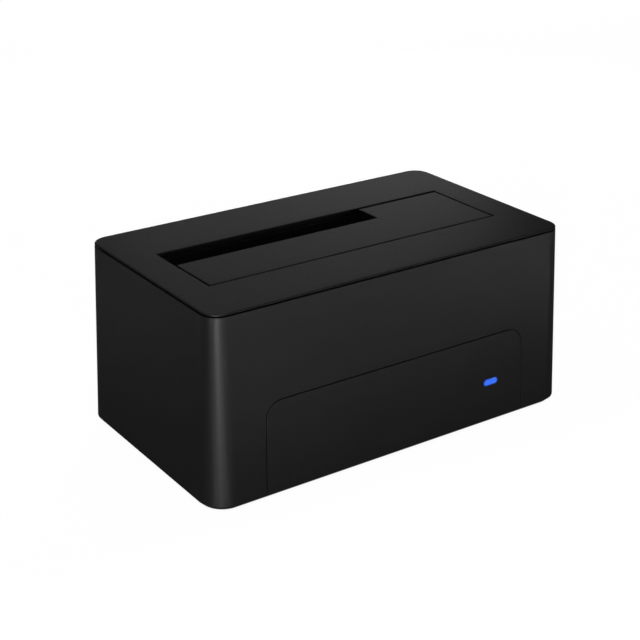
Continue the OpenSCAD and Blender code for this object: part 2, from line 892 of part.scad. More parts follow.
// Bottom plate with board posts, foot recesses, screw holes and ventilation slots
module base_plate() {
    color(soft_black)
        difference() {
            union() {
                housing_block(wall + slip, z_base, z_base_top);
                for (p = posts)
                    translate([p[0], p[1], z_base_top - weld])
                        cylinder(h = post_h + weld, d = post_d);
            }
            for (p = posts)
                translate([p[0], p[1], z_board - board_screw_l + board_t - weld])
                    cylinder(h = board_screw_l, r = board_screw_d / 2 + thread_gap);
            for (x = [-foot_x, foot_x], y = [-foot_y, foot_y])
                translate([x, y, z_base - weld])
                    cylinder(h = foot_in + weld, r = foot_d / 2 + slip);
            for (p = bosses)
                translate([p[0], p[1], z_base - weld]) {
                    cylinder(h = base_t + 2 * weld, r = base_screw_d / 2 + shank_gap);
                    cylinder(h = head_in + weld, r = head_d / 2 + head_gap);
                }
            for (i = [0 : vent_n - 1], side = [-1, 1])
                translate([(i - (vent_n - 1) / 2) * vent_pitch, side * vent_l, z_base + base_t / 2])
                    cube([vent_w, vent_l, base_t + 2 * weld], center = true);
        }
}

// Rubber foot, seated in its recess, with a chamfered tread
module rubber_foot(x, y) {
    r = foot_d / 2;
    bevel = foot_h / 3;
    color("#151515")
        translate([x, y, 0])
            rotate_extrude()
                polygon([[0, 0], [r - bevel, 0], [r, bevel], [r, z_base + foot_in], [0, z_base + foot_in]]);
}

// Circuit board with an arm to the status light
module main_board() {
    arm_left = lens_x - arm_w / 2;
    arm_right = lens_x + arm_w / 2;
    color(green)
        translate([0, 0, z_board])
            difference() {
                linear_extrude(board_t)
                    polygon([
                        [-board_x, -board_front], [arm_left, -board_front], [arm_left, arm_front],
                        [arm_right, arm_front], [arm_right, -board_front], [board_x, -board_front],
                        [board_x, board_back], [-board_x, board_back]
                    ]);
                for (p = posts)
                    translate([p[0], p[1], -weld])
                        cylinder(h = board_t + 2 * weld, r = board_screw_d / 2 + shank_gap);
            }
}

// Body of the drive connector with its two keyed slots and the channels of its contacts
module sata_receptacle() {
    low = z_board_top + sata_lift;
    high = z_board_top + sata_h;
    color("#17181a")
        difference() {
            union() {
                box(
                    [sata_x - sata_w / 2, sata_y - sata_d / 2, low],
                    [sata_x + sata_w / 2, sata_y + sata_d / 2, high]
                );
                for (side = [-1, 1])
                    translate([sata_x + side * (sata_w - sata_foot) / 2, sata_y, z_board_top + sata_lift])
                        cube([sata_foot, sata_d, 2 * sata_lift], center = true);
            }
            tongue_cut(power_x, power_l);
            tongue_cut(data_x, data_l);
            for (x = contact_x)
                box(
                    [x - leaf_w / 2 - leaf_gap, sata_y + tongue_slot / 2 - leaf_t - leaf_gap, low - weld],
                    [x + leaf_w / 2 + leaf_gap, sata_y + tongue_slot / 2 + leaf_gap, high - leaf_tip]
                );
        }
}

// L-shaped slot for one tongue of the drive's plug
module tongue_cut(x, l) {
    high = z_board_top + sata_h;
    low = high - tongue_depth;
    half = tongue_slot / 2;
    left = x - tongue_end;
    box([left, sata_y - half, low], [x + l + tongue_end, sata_y + half, high + weld]);
    box([left, sata_y - half - tongue_key_d, low], [left + tongue_key, sata_y, high + weld]);
}

// Spring contacts: a foot on the board, a riser and a bowed leaf
module sata_contacts() {
    back = sata_y + tongue_slot / 2;
    front = back - leaf_t;
    tip = z_board_top + sata_h - leaf_tip - leaf_gap;
    bow = tip - tongue_depth / 4;
    root = bow - tongue_depth / 4;
    foot_end = sata_y + sata_d / 2 + leaf_foot;
    color(gold)
        for (x = contact_x)
            carry_x(x - leaf_w / 2, x + leaf_w / 2)
                polygon([
                    [front, z_board_top], [foot_end, z_board_top], [foot_end, z_board_top + leaf_t],
                    [back, z_board_top + leaf_t], [back, root], [back - leaf_bow, bow], [back, tip],
                    [front, tip], [front - leaf_bow, bow], [front, root]
                ]);
}

// Chip that stands on the board
module chip(x, y, size) {
    color("#202124")
        translate([x, y, z_board_top])
            linear_extrude(size[2])
                square([size[0], size[1]], center = true);
}

module bridge_chip() {
    chip(usb_x, 0, bridge_size);
}

module crystal() {
    chip(usb_x + part_step, 0, crystal_size);
}

module regulator_chip() {
    chip((usb_x + dc_x) / 2, board_back - part_step, regulator_size);
}

// Two shielded inductors with chamfered corners
module power_inductors() {
    cut = inductor_size[0] / 6;
    half = inductor_size[0] / 2;
    color("#4b4d50")
        for (i = [0, 1])
            translate([row_x + i * part_step, row_y, z_board_top])
                linear_extrude(inductor_size[2])
                    polygon([
                        [-half, cut - half], [cut - half, -half], [half - cut, -half], [half, cut - half],
                        [half, half - cut], [half - cut, half], [cut - half, half], [-half, half - cut]
                    ]);
}

// Two can capacitors on their square feet
module filter_capacitors() {
    groove = can_d / 20;
    color("#c9ccd0")
        for (i = [0, 1])
            translate([row_x + i * part_step, row_y + part_step, z_board_top]) {
                linear_extrude(can_foot[2])
                    square([can_foot[0], can_foot[1]], center = true);
                rotate_extrude()
                    polygon([
                        [0, can_foot[2] - weld], [can_d / 2, can_foot[2] - weld], [can_d / 2, can_h / 4],
                        [can_d / 2 - groove, can_h / 4 + groove], [can_d / 2, can_h / 4 + 2 * groove],
                        [can_d / 2, can_h - groove], [can_d / 2 - groove, can_h], [0, can_h]
                    ]);
            }
}

// Side-looking light that stands on the board's arm
module status_led() {
    color("#eef2f6")
        translate([lens_x, led_front, 0]) {
            box([-led_w / 2, 0, z_board_top], [led_w / 2, led_d, z_lens + led_dome]);
            translate([0, 0, z_lens])
                rod_y(-led_dome_l, weld, led_dome - lens_gap);
        }
}

// Metal skin of the data port
module usb_shell() {
    color(steel) {
        difference() {
            carry_y(port_y - usb_l, port_y)
                usb_outline(usb_skin);
            carry_y(port_y - usb_l + usb_skin, port_y + weld)
                usb_outline(0);
        }
        for (side = [-1, 1])
            translate([usb_x + side * usb_w / 2, port_y - usb_l / 2, z_usb - usb_skin - usb_lift / 2])
                cube([2 * usb_skin, usb_l / 4, usb_lift], center = true);
    }
}

// Insulator of the data port: a block at the back and two tongues
module usb_insulator() {
    back = port_y - usb_l + usb_skin;
    color("#2f62c8") {
        carry_y(back, back + usb_block_l)
            usb_outline(-usb_fit);
        translate([usb_x, 0, z_usb]) {
            box(
                [-usb_tongue_w / 2, back + weld, usb_tongue_z],
                [usb_tongue_w / 2, port_y - usb_tongue_in, usb_tongue_z + usb_tongue_h]
            );
            box(
                [-usb_upper_w / 2, back + weld, usb_upper_z],
                [usb_upper_w / 2, port_y - usb_tongue_in, usb_upper_z + usb_upper_h]
            );
        }
    }
}

// Contact strips that lie on the tongues: two above and two below the large one, five under the small one
module usb_contacts() {
    y0 = port_y - usb_l + usb_skin + usb_block_l;
    y1 = port_y - usb_tongue_in - usb_strip_in;
    wide = usb_tongue_w / 5;
    thin = usb_upper_w / 9;
    color(gold)
        translate([usb_x, 0, z_usb]) {
            for (side = [-1, 1], z = [usb_tongue_z - usb_strip_t, usb_tongue_z + usb_tongue_h])
                translate([side * usb_tongue_w / 4, 0, 0])
                    box([-wide / 2, y0, z], [wide / 2, y1, z + usb_strip_t]);
            for (i = [-2 : 2])
                translate([2 * i * thin, 0, 0])
                    box([-thin / 2, y0, usb_upper_z - usb_strip_t], [thin / 2, y1, usb_upper_z]);
        }
}

// Body of the power inlet with its round nose and bore
module dc_jack_body() {
    floor_y = port_y - dc_bore_l;
    color(soft_black)
        difference() {
            union() {
                box(
                    [dc_x - dc_w / 2, port_y - dc_l, z_board_top],
                    [dc_x + dc_w / 2, wall_y(z_port + dc_up, wall) - slip, z_port + dc_up]
                );
                translate([dc_x, 0, z_port])
                    rod_y(port_y - dc_l / 2, port_y, dc_nose_d / 2);
            }
            translate([dc_x, 0, z_port]) {
                rod_y(floor_y, port_y + weld, dc_bore_d / 2);
                rod_y(floor_y - dc_seat_l, floor_y + weld, dc_seat_d / 2 + seat_gap);
            }
        }
}

// Centre pin of the power inlet, with a thinner root in the body
module dc_jack_pin() {
    floor_y = port_y - dc_bore_l;
    tip = dc_pin_d / 4;
    end = dc_bore_l - dc_pin_in;
    r = dc_pin_d / 2;
    color(steel)
        translate([dc_x, floor_y, z_port])
            rotate([-90, 0, 0])
                rotate_extrude()
                    polygon([
                        [0, -dc_seat_l], [dc_seat_d / 2, -dc_seat_l], [dc_seat_d / 2, 0], [r, 0],
                        [r, end - tip], [r - tip, end], [0, end]
                    ]);
}

// Body of the power switch with the bore of its stem
module switch_body() {
    color("#3a3c40")
        difference() {
            box(
                [-button_x - switch_w / 2, switch_back - switch_l, z_board_top],
                [-button_x + switch_w / 2, switch_back, z_port + switch_up]
            );
            translate([-button_x, 0, z_port])
                rod_y(stem_end - button_travel - move_gap, switch_back + weld, stem_d / 2 + run_gap);
        }
}

// Push button: a domed cap and the stem that runs in the switch
module power_button() {
    r = button_d / 2;
    dome = cap_out / 3;
    color(black)
        translate([-button_x, button_back, z_port])
            rotate([-90, 0, 0])
                rotate_extrude()
                    polygon([
                        [0, -stem_l], [stem_d / 2, -stem_l], [stem_d / 2, 0], [r, 0],
                        [r, cap_l - dome], [r - dome, cap_l], [0, cap_l]
                    ]);
}

// Screws of the base plate, up into the housing's bosses
module base_screws() {
    color(steel)
        for (p = bosses)
            translate([p[0], p[1], z_base + head_in])
                screw(base_screw_d, base_screw_l - head_in);
}

// Screws of the board, down into the base plate's posts
module board_screws() {
    color(steel)
        for (p = posts)
            translate([p[0], p[1], z_board_top])
                mirror([0, 0, 1])
                    screw(board_screw_d, board_screw_l);
}

// Screws of the guide, up into the cover's bosses
module guide_screws() {
    color(steel)
        for (p = hangers)
            translate([p[0], p[1], z_ear])
                screw(guide_screw_d, guide_screw_l);
}

housing_shell();
top_cover();
drive_guide();
drive_flap();
hinge_pin();
flap_spring();
front_panel();
light_pipe();
base_plate();
rubber_foot(-foot_x, -foot_y);  // foot_front_left
rubber_foot(foot_x, -foot_y);  // foot_front_right
rubber_foot(-foot_x, foot_y);  // foot_rear_left
rubber_foot(foot_x, foot_y);  // foot_rear_right
main_board();
sata_receptacle();
sata_contacts();
bridge_chip();
regulator_chip();
crystal();
power_inductors();
filter_capacitors();
status_led();
usb_shell();
usb_insulator();
usb_contacts();
dc_jack_body();
dc_jack_pin();
switch_body();
power_button();
base_screws();
board_screws();
guide_screws();
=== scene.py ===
"""Looks of a docking station for hard drives: finishes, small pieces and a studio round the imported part.

The file is laid out as an add-on and run as a script. Each operator dresses or builds one group of pieces.
Lengths are metres in the part's own frame: X right, Y back, Z up, with the origin on the table.
"""

import json
import math

import bmesh
import bpy
import numpy as np
from bpy.props import FloatProperty, FloatVectorProperty, IntProperty, PointerProperty
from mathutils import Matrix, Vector


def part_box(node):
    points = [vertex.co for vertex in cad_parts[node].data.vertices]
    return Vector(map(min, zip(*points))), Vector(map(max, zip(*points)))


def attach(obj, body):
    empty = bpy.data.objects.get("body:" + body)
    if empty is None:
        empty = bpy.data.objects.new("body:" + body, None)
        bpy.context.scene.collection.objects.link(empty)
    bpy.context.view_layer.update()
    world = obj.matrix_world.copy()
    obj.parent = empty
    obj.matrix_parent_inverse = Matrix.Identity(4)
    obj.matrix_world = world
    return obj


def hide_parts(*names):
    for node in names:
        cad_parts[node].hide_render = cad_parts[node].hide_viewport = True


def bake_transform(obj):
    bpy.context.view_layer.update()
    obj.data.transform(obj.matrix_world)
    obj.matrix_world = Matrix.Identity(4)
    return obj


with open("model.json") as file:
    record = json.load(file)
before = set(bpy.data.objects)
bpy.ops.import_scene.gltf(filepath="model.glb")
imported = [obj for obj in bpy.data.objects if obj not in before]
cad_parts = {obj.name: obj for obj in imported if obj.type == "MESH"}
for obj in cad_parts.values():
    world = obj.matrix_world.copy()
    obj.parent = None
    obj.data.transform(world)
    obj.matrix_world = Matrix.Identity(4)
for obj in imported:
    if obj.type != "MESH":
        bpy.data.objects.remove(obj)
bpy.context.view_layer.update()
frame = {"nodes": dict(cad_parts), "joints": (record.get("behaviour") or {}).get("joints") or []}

bl_info = {
    "name": "Drive Dock Looks",
    "version": (1, 0, 0),
    "blender": (4, 5, 0),
    "location": "View3D > Sidebar > Drive Dock",
    "description": "Finishes, small pieces and a studio for a hard drive docking station",
    "category": "Object",
}

MM = 0.001
HINGE = next(j for j in frame["joints"] if j["name"] == "flap_hinge")
FEET = ("foot_front_left", "foot_front_right", "foot_rear_left", "foot_rear_right")
# Screws: their node, 1 where the head is below or -1 where it is above, and the diameter of the shank
SCREWS = (("base_screws", 1, 2.6 * MM), ("board_screws", -1, 2.2 * MM), ("guide_screws", 1, 2.2 * MM))
MERGE = 0.0001 * MM  # points of a built piece this near each other are one
JOIN = 0.002 * MM  # the same for a CAD node
CREASE = 35.0  # edges of built pieces and of roundings that turn by more than this, in degrees, stay crisp
SOLID_CREASE = 30.0  # the same for edges of a CAD node that aren't rounded
WALL_DRAFT = 2.54  # lean of the walls, in degrees
WHITE = (1.0, 1.0, 1.0, 1.0)


def linear(code):
    """Linear RGBA of an sRGB colour written as #rrggbb."""
    parts = [int(code[i : i + 2], 16) / 255 for i in (1, 3, 5)]
    return [c / 12.92 if c <= 0.04045 else ((c + 0.055) / 1.055) ** 2.4 for c in parts] + [1.0]


def colour_property(label, text, code):
    """A colour with its picker, from an sRGB hex default."""
    return FloatVectorProperty(
        name=label, description=text, subtype="COLOR", size=4, min=0.0, max=1.0, default=linear(code)
    )


def length_property(label, text, millimetres):
    """A length in metres, from a default in millimetres."""
    return FloatProperty(
        name=label, description=text, subtype="DISTANCE", unit="LENGTH", min=0.0, precision=5,
        default=millimetres * MM,
    )


class DockFinishes(bpy.types.PropertyGroup):
    """Colours, grain and edges of the finishes."""

    housing: colour_property("Housing", "Colour of the moulded housing, cover, flap and panel", "#121213")
    # The inside colour is the same black ABS made a shade paler than the housing: painted fill light for the
    # shaded insides
    inside: colour_property("Inside", "Colour of the guide and the base plate", "#1c1c1e")
    status: colour_property("Status light", "Colour of the lit window at its core", "#3f78fd")
    status_rim: colour_property("Status rim", "Colour of the lit window at its edge", "#173a96")
    board: colour_property("Board", "Colour of the circuit board's solder mask", "#1c5438")
    insulator: colour_property("Port insulator", "Colour of the data port's tongues", "#2f62c8")
    grain: length_property("Grain", "Grain of the housing's spark-eroded texture", 0.35)
    edge: length_property("Edge rounding", "Rounding of the moulded edges that the solids leave sharp", 0.14)
    flap_edge: length_property(
        "Flap edge rounding", "Rounding of the edges of the flap and of the cover round it", 0.24
    )


class DockSmallParts(bpy.types.PropertyGroup):
    """Sizes of the pieces that are built here."""

    wire: length_property("Spring wire", "Diameter of the flap spring's wire", 0.4)
    coil: length_property("Spring coil", "Diameter of the flap spring's coil at the middle of its wire", 2.15)
    turns: IntProperty(
        name="Spring turns", description="Full turns of the flap spring", min=3, max=7, default=5
    )
    head: length_property("Screw head", "Diameter of the screws' heads", 5.0)
    head_height: length_property("Screw head height", "Height of the screws' heads", 1.6)
    recess: length_property("Screw recess", "Depth of the cross in the screws' heads", 0.8)
    thread: length_property("Screw thread", "Pitch of the screws' threads", 0.8)
    tread: length_property("Foot tread", "Distance between the rings on the feet's undersides", 1.1)
    pitch: length_property("Contact pitch", "Distance between the drive connector's contacts", 1.27)
    dish: length_property("Button dish", "Depth of the hollow in the power button's face", 0.35)


class DockStudio(bpy.types.PropertyGroup):
    """Floor, lamps and camera."""

    floor: colour_property("Floor", "Colour of the floor", "#616160")
    ambient: FloatProperty(
        name="Ambient", description="Share of the white room that lights matt surfaces",
        min=0.0, max=1.0, default=0.06,
    )
    gloss: FloatProperty(
        name="Gloss",
        description="Share of the white room that gloss shows, low so that black plastic stays black",
        min=0.0, max=1.0, default=0.02,
    )
    camera: FloatVectorProperty(
        name="Camera", description="Place of the camera", subtype="TRANSLATION", unit="LENGTH",
        default=(-0.23224, -0.33359, 0.20639),
    )
    turn: FloatVectorProperty(
        name="Camera turn", description="Turn of the camera about X, Y and Z", subtype="EULER",
        unit="ROTATION", default=(math.radians(66.5), math.radians(0.047), math.radians(-34.495)),
    )
    lens: FloatProperty(
        name="Lens", description="Focal length on a 36 mm sensor", subtype="DISTANCE_CAMERA", unit="CAMERA",
        min=20.0, max=200.0, default=79.79,
    )


# Surfaces, worked out as whole arrays of points


def circle(count):
    """Points on a unit circle as [cosine, sine], evenly spaced."""
    a = np.linspace(0.0, 2 * np.pi, count, endpoint=False)
    return np.stack([np.cos(a), np.sin(a)], -1)


def rounded_line(points, radius, steps=6):
    """Line through points with its corners rounded: each corner becomes a quadratic Bezier curve that starts
    and ends at the given distance from it, or half way to the next corner where that is nearer."""
    points = np.asarray(points, float)
    back, ahead = points[:-2] - points[1:-1], points[2:] - points[1:-1]
    back_length = np.linalg.norm(back, axis=1, keepdims=True)
    ahead_length = np.linalg.norm(ahead, axis=1, keepdims=True)
    start = points[1:-1] + back / back_length * np.minimum(radius, back_length / 2)
    end = points[1:-1] + ahead / ahead_length * np.minimum(radius, ahead_length / 2)
    t = np.linspace(0.0, 1.0, steps)[None, :, None]
    bends = (1 - t) ** 2 * start[:, None] + 2 * t * (1 - t) * points[1:-1, None] + t**2 * end[:, None]
    return np.concatenate([points[:1], bends.reshape(-1, points.shape[1]), points[-1:]])


def rounded_box(half, rounding, steps):
    """Outline of a rectangle of these half sizes with rounded corners, from the middle of its lower side."""
    square = np.array([[0, -1], [1, -1], [1, 1], [-1, 1], [-1, -1], [0, -1]])
    return rounded_line(square * np.asarray(half), rounding, steps)[:-1]


def turned(profile, centre, axis, columns=64):
    """Turned form: each [radius, height] of the profile runs round an axis of the frame, moved to centre."""
    axis = np.asarray(axis, float)
    across = np.roll(axis, 1)
    around = circle(columns)[None] @ np.stack([across, np.cross(axis, across)])
    profile = np.asarray(profile, float)[:, None]
    return np.asarray(centre, float) + profile[..., 1:] * axis + profile[..., :1] * around


def carried(outline, path, level):
    """Outline carried along a path: its first direction follows the level vector, made square to the path,
    and its second is square to both. Each end is drawn in to the middle of the outline, which closes it."""
    heading = np.gradient(path, axis=0)
    heading /= np.linalg.norm(heading, axis=1, keepdims=True)
    first = np.asarray(level, float) - heading * (heading @ np.asarray(level, float))[:, None]
    first /= np.linalg.norm(first, axis=1, keepdims=True)
    second = np.cross(heading, first)
    rings = path[:, None] + outline[None, :, :1] * first[:, None] + outline[None, :, 1:] * second[:, None]
    middle = np.broadcast_to(path[[0, -1], None], (2, *rings.shape[1:]))
    return np.concatenate([middle[:1], rings, middle[1:]])


def smooth_step(x):
    """Ramp that is 0 below 0 and 1 above 1, with level ends: 3 x squared less 2 x cubed."""
    x = np.clip(x, 0.0, 1.0)
    return x * x * (3 - 2 * x)


def cross_mark(x, y, arm, half_width, soft):
    """Depth of a cross between 0 and 1: two bars along X and Y with soft sides and ends."""

    def bar(along, aside):
        return smooth_step((half_width - np.abs(aside)) / soft) * smooth_step((arm - np.abs(along)) / soft)

    return np.maximum(bar(x, y), bar(y, x))


def quads(rows, columns):
    """Corner numbers of the faces of a grid of points that closes round its columns."""
    row, column = np.meshgrid(np.arange(rows - 1), np.arange(columns), indexing="ij")
    left, right = row * columns + column, row * columns + (column + 1) % columns
    return np.stack([left, right, right + columns, left + columns], -1).reshape(-1, 4)


def piece(name, surfaces, material, body, replaces=()):
    """Object made of surfaces. Points that meet are merged, which closes seams and poles, faces are turned
    outwards, and sharp edges stay crisp."""
    points = np.concatenate([s.reshape(-1, 3) for s in surfaces])
    starts = np.cumsum([0] + [s.shape[0] * s.shape[1] for s in surfaces[:-1]])
    faces = np.concatenate([quads(*s.shape[:2]) + start for s, start in zip(surfaces, starts)])
    mesh = bpy.data.meshes.new(name)
    mesh.from_pydata(points.tolist(), [], faces.tolist())
    shape = bmesh.new()
    shape.from_mesh(mesh)
    bmesh.ops.remove_doubles(shape, verts=shape.verts, dist=MERGE)
    bmesh.ops.recalc_face_normals(shape, faces=shape.faces)
    shape.to_mesh(mesh)
    shape.free()
    mesh.shade_smooth()
    mesh.set_sharp_from_angle(angle=math.radians(CREASE))
    mesh.materials.append(material)
    made = bpy.data.objects.new(name, mesh)
    bpy.context.scene.collection.objects.link(made)
    if replaces:
        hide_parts(*replaces)
    if body:
        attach(made, body)
    return made


def corners(node, radius):
    """Places of four like pieces that stand at the corners of a node's box, inside it by their own radius."""
    low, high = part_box(node)
    return [(x, y) for x in (low.x + radius, high.x - radius) for y in (low.y + radius, high.y - radius)]


# Finishes. In their nodes, Map Range takes its value at input 0, the range it comes in at 1 and 2, and the
# range it goes out in at 3 and 4. Mix takes its factor at 0 and its two colours at 6 and 7

MOST = {1: 0.3, 2: 0.7}  # the range that holds most of a noise
FLOW = 22 * MM  # size of the clouds that the flow of the melt leaves in a moulding
PLASTIC_IOR = 1.53
ACRYLIC_IOR = 1.49


def add(tree, kind, inputs=None, **settings):
    """Adds a node. Settings are its own properties. Each input takes a value, or a socket to link."""
    made = tree.nodes.new(kind)
    for name, value in settings.items():
        setattr(made, name, value)
    for name, value in (inputs or {}).items():
        if isinstance(value, bpy.types.NodeSocket):
            tree.links.new(value, made.inputs[name])
        else:
            made.inputs[name].default_value = value
    return made


def blank(name):
    """Material with a Principled shader: itself, its tree, its Object coordinates and the shader."""
    made = bpy.data.materials.new(name)
    made.use_nodes = True
    tree = made.node_tree
    tree.nodes.clear()
    place = add(tree, "ShaderNodeTexCoord").outputs["Object"]
    shader = add(tree, "ShaderNodeBsdfPrincipled")
    add(tree, "ShaderNodeOutputMaterial", {"Surface": shader.outputs["BSDF"]})
    return made, tree, place, shader


def connect(tree, shader, tone, gloss, bump):
    """Gives a shader its colour, roughness and bump from three nodes."""
    tree.links.new(tone.outputs[2], shader.inputs["Base Color"])
    tree.links.new(gloss.outputs["Result"], shader.inputs["Roughness"])
    tree.links.new(bump.outputs["Normal"], shader.inputs["Normal"])


def finish(build):
    """The material of a finish, made once under the name of the function that builds it."""
    return bpy.data.materials.get(build.__name__) or build(build.__name__)


def cells(size):
    """Scale of a texture whose cells have this size in metres."""
    return 1.0 / size


def moulded(name, colour, grain, depth, roughness, specular):
    """Moulded plastic: a fine grain in its bump and gloss, and a faint cloudiness from the flow of the melt.

    Grain is its size and depth its height, in metres. Roughness is a pair, from the peaks to the pits."""
    made, tree, place, shader = blank(name)
    flow = add(tree, "ShaderNodeTexNoise", {"Vector": place, "Scale": cells(FLOW), "Detail": 2.0})
    grit = add(tree, "ShaderNodeTexNoise", {"Vector": place, "Scale": cells(grain), "Detail": 2.0})
    shade = add(tree, "ShaderNodeMapRange", {0: flow.outputs["Fac"], **MOST, 3: 0.94, 4: 1.06})
    tone = add(
        tree, "ShaderNodeMix", {0: 1.0, 6: colour, 7: shade.outputs["Result"]},
        data_type="RGBA", blend_type="MULTIPLY",
    )
    gloss = add(
        tree, "ShaderNodeMapRange", {0: grit.outputs["Fac"], **MOST, 3: roughness[1], 4: roughness[0]}
    )
    bump = add(
        tree, "ShaderNodeBump", {"Height": grit.outputs["Fac"], "Strength": 1.0, "Distance": depth}
    )
    connect(tree, shader, tone, gloss, bump)
    shader.inputs["Specular IOR Level"].default_value = specular
    shader.inputs["IOR"].default_value = PLASTIC_IOR
    return made


def plated(name, colour, roughness, streak):
    """Bright metal: streaks of its drawing or rolling in gloss and bump.

    Roughness is a pair, from the pits to the peaks. Streak is their size along X, Y and Z, in metres."""
    made, tree, place, shader = blank(name)
    stretched = add(tree, "ShaderNodeMapping", {"Vector": place, "Scale": [cells(s) for s in streak]})
    lines = add(
        tree, "ShaderNodeTexNoise", {"Vector": stretched.outputs["Vector"], "Scale": 1.0, "Detail": 3.0}
    )
    gloss = add(
        tree, "ShaderNodeMapRange", {0: lines.outputs["Fac"], **MOST, 3: roughness[0], 4: roughness[1]}
    )
    shade = add(tree, "ShaderNodeMapRange", {0: lines.outputs["Fac"], 1: 0.25, 2: 0.75, 3: 0.9, 4: 1.05})
    tone = add(
        tree, "ShaderNodeMix", {0: 1.0, 6: colour, 7: shade.outputs["Result"]},
        data_type="RGBA", blend_type="MULTIPLY",
    )
    bump = add(
        tree, "ShaderNodeBump", {"Height": lines.outputs["Fac"], "Strength": 0.6, "Distance": 0.004 * MM}
    )
    connect(tree, shader, tone, gloss, bump)
    shader.inputs["Metallic"].default_value = 1.0
    return made


def spark_textured_abs(name):
    """Black ABS, moulded against a spark-eroded tool. The eye sees an even matt charcoal whose highlights are
    wide and soft. The real grain is near 0.1 mm: it is drawn coarser, or it wouldn't show."""
    looks = bpy.context.scene.dock_finishes
    return moulded(name, looks.housing, looks.grain, 0.006 * MM, (0.41, 0.49), 0.25)


def plain_black_abs(name):
    """Black ABS from a stoned tool, for guide and base: a little glossier than the housing, and a shade paler
    as painted fill light for the shaded insides.
    """
    looks = bpy.context.scene.dock_finishes
    return moulded(name, looks.inside, 0.6 * MM, 0.005 * MM, (0.36, 0.46), 0.4)


def foot_rubber(name):
    """Moulded black rubber: dull and dusty, with a soft grey bloom."""
    return moulded(name, linear("#1a1a1a"), 0.45 * MM, 0.02 * MM, (0.75, 0.9), 0.3)


def glass_filled_nylon(name):
    """Black glass-filled nylon of the connectors: a dry surface, lightly speckled by its fibres."""
    return moulded(name, linear("#141416"), 0.25 * MM, 0.008 * MM, (0.45, 0.6), 0.4)


def switch_nylon(name):
    """Dark grey nylon of the switch: like the connectors', a shade lighter."""
    return moulded(name, linear("#33353a"), 0.3 * MM, 0.008 * MM, (0.45, 0.58), 0.4)


def blue_pbt(name):
    """Blue moulded PBT of the data port's insulator: clean, with an even half gloss."""
    return moulded(name, bpy.context.scene.dock_finishes.insulator, 0.3 * MM, 0.004 * MM, (0.32, 0.42), 0.5)


def mould_epoxy(name):
    """Black mould epoxy of the chips: dead matt, with a fine sparkle of its filler."""
    return moulded(name, linear("#1b1c1f"), 0.2 * MM, 0.006 * MM, (0.55, 0.7), 0.35)


def pressed_ferrite(name):
    """Pressed grey ferrite of the inductors: a stony grey with coarse grains."""
    return moulded(name, linear("#4a4c4f"), 0.5 * MM, 0.02 * MM, (0.5, 0.7), 0.4)


def milky_epoxy(name):
    """Cast milky epoxy of the status light's body: smooth, pale and faintly blue."""
    return moulded(name, linear("#dfe6f0"), 0.8 * MM, 0.002 * MM, (0.18, 0.28), 0.5)


def zinc_steel(name):
    """Zinc-plated steel of screws, pin and spring: cool and bright, with short streaks from drawing."""
    return plated(name, linear("#b7bbc1"), (0.22, 0.36), (0.8 * MM, 0.1 * MM, 0.1 * MM))


def nickel_steel(name):
    """Nickel-plated rolled steel of the port's skin: warm and bright, with long streaks along the port."""
    return plated(name, linear("#bfbdb6"), (0.2, 0.34), (0.12 * MM, 3.0 * MM, 0.12 * MM))


def gold_flash(name):
    """Gold flash over nickel on the contacts: pale yellow and smooth."""
    return plated(name, linear("#d9b462"), (0.16, 0.28), (0.15 * MM, 0.8 * MM, 0.8 * MM))


def drawn_aluminium(name):
    """Deep-drawn aluminium of the capacitors' cans: satin, streaked along the can."""
    return plated(name, linear("#c6c9cc"), (0.28, 0.42), (0.15 * MM, 0.15 * MM, 2.5 * MM))


def solder_mask(name):
    """Green solder mask over copper: half gloss, with paler tracks and tinned holes under it."""
    made, tree, place, shader = blank(name)
    looks = bpy.context.scene.dock_finishes
    tracks = add(
        tree, "ShaderNodeTexVoronoi", {"Vector": place, "Scale": cells(4 * MM)},
        feature="DISTANCE_TO_EDGE",
    )
    copper = add(
        tree, "ShaderNodeMapRange", {0: tracks.outputs["Distance"], 1: 0.05, 2: 0.08, 3: 1.0, 4: 0.0}
    )
    lit = add(
        tree, "ShaderNodeMix", {0: copper.outputs["Result"], 6: looks.board, 7: linear("#2f7d52")},
        data_type="RGBA",
    )
    holes = add(tree, "ShaderNodeTexVoronoi", {"Vector": place, "Scale": cells(3 * MM)})
    tinned = add(tree, "ShaderNodeMapRange", {0: holes.outputs["Distance"], 1: 0.1, 2: 0.13, 3: 1.0, 4: 0.0})
    tone = add(
        tree, "ShaderNodeMix", {0: tinned.outputs["Result"], 6: lit.outputs[2], 7: linear("#c2b98f")},
        data_type="RGBA",
    )
    gloss = add(tree, "ShaderNodeMapRange", {0: copper.outputs["Result"], 1: 0.0, 2: 1.0, 3: 0.38, 4: 0.26})
    bump = add(
        tree, "ShaderNodeBump", {"Height": copper.outputs["Result"], "Strength": 0.5, "Distance": 0.03 * MM}
    )
    connect(tree, shader, tone, gloss, bump)
    return made


def lit_acrylic(name):
    """Moulded acrylic with a blue light behind it: a bright core that falls off to a deep blue at the edge.

    The attribute core, from the piece itself, is 1 in the middle of the window and 0 at its edge."""
    made, tree, _, shader = blank(name)
    looks = bpy.context.scene.dock_finishes
    core = add(tree, "ShaderNodeAttribute", attribute_name="core")
    fall = add(tree, "ShaderNodeMapRange", {0: core.outputs["Fac"], 1: 0.0, 2: 0.5, 3: 0.0, 4: 1.0})
    glow = add(
        tree, "ShaderNodeMix", {0: fall.outputs["Result"], 6: looks.status_rim, 7: looks.status},
        data_type="RGBA",
    )
    tree.links.new(glow.outputs[2], shader.inputs["Emission Color"])
    shader.inputs["Base Color"].default_value = looks.status_rim
    shader.inputs["Emission Strength"].default_value = 0.72
    shader.inputs["Roughness"].default_value = 0.2
    shader.inputs["IOR"].default_value = ACRYLIC_IOR
    return made


# Soft edges of the CAD nodes

SHARP = math.radians(40)  # an edge that turns by more than this is rounded
WIDE = 2  # a face beside a rounded edge is this many roundings wide, or wider
HINGE_ROOM = 2.0 * MM  # edges this near the hinge's axis stay as they are
FLAT = math.radians(0.5)  # faces that turn by less than this are one


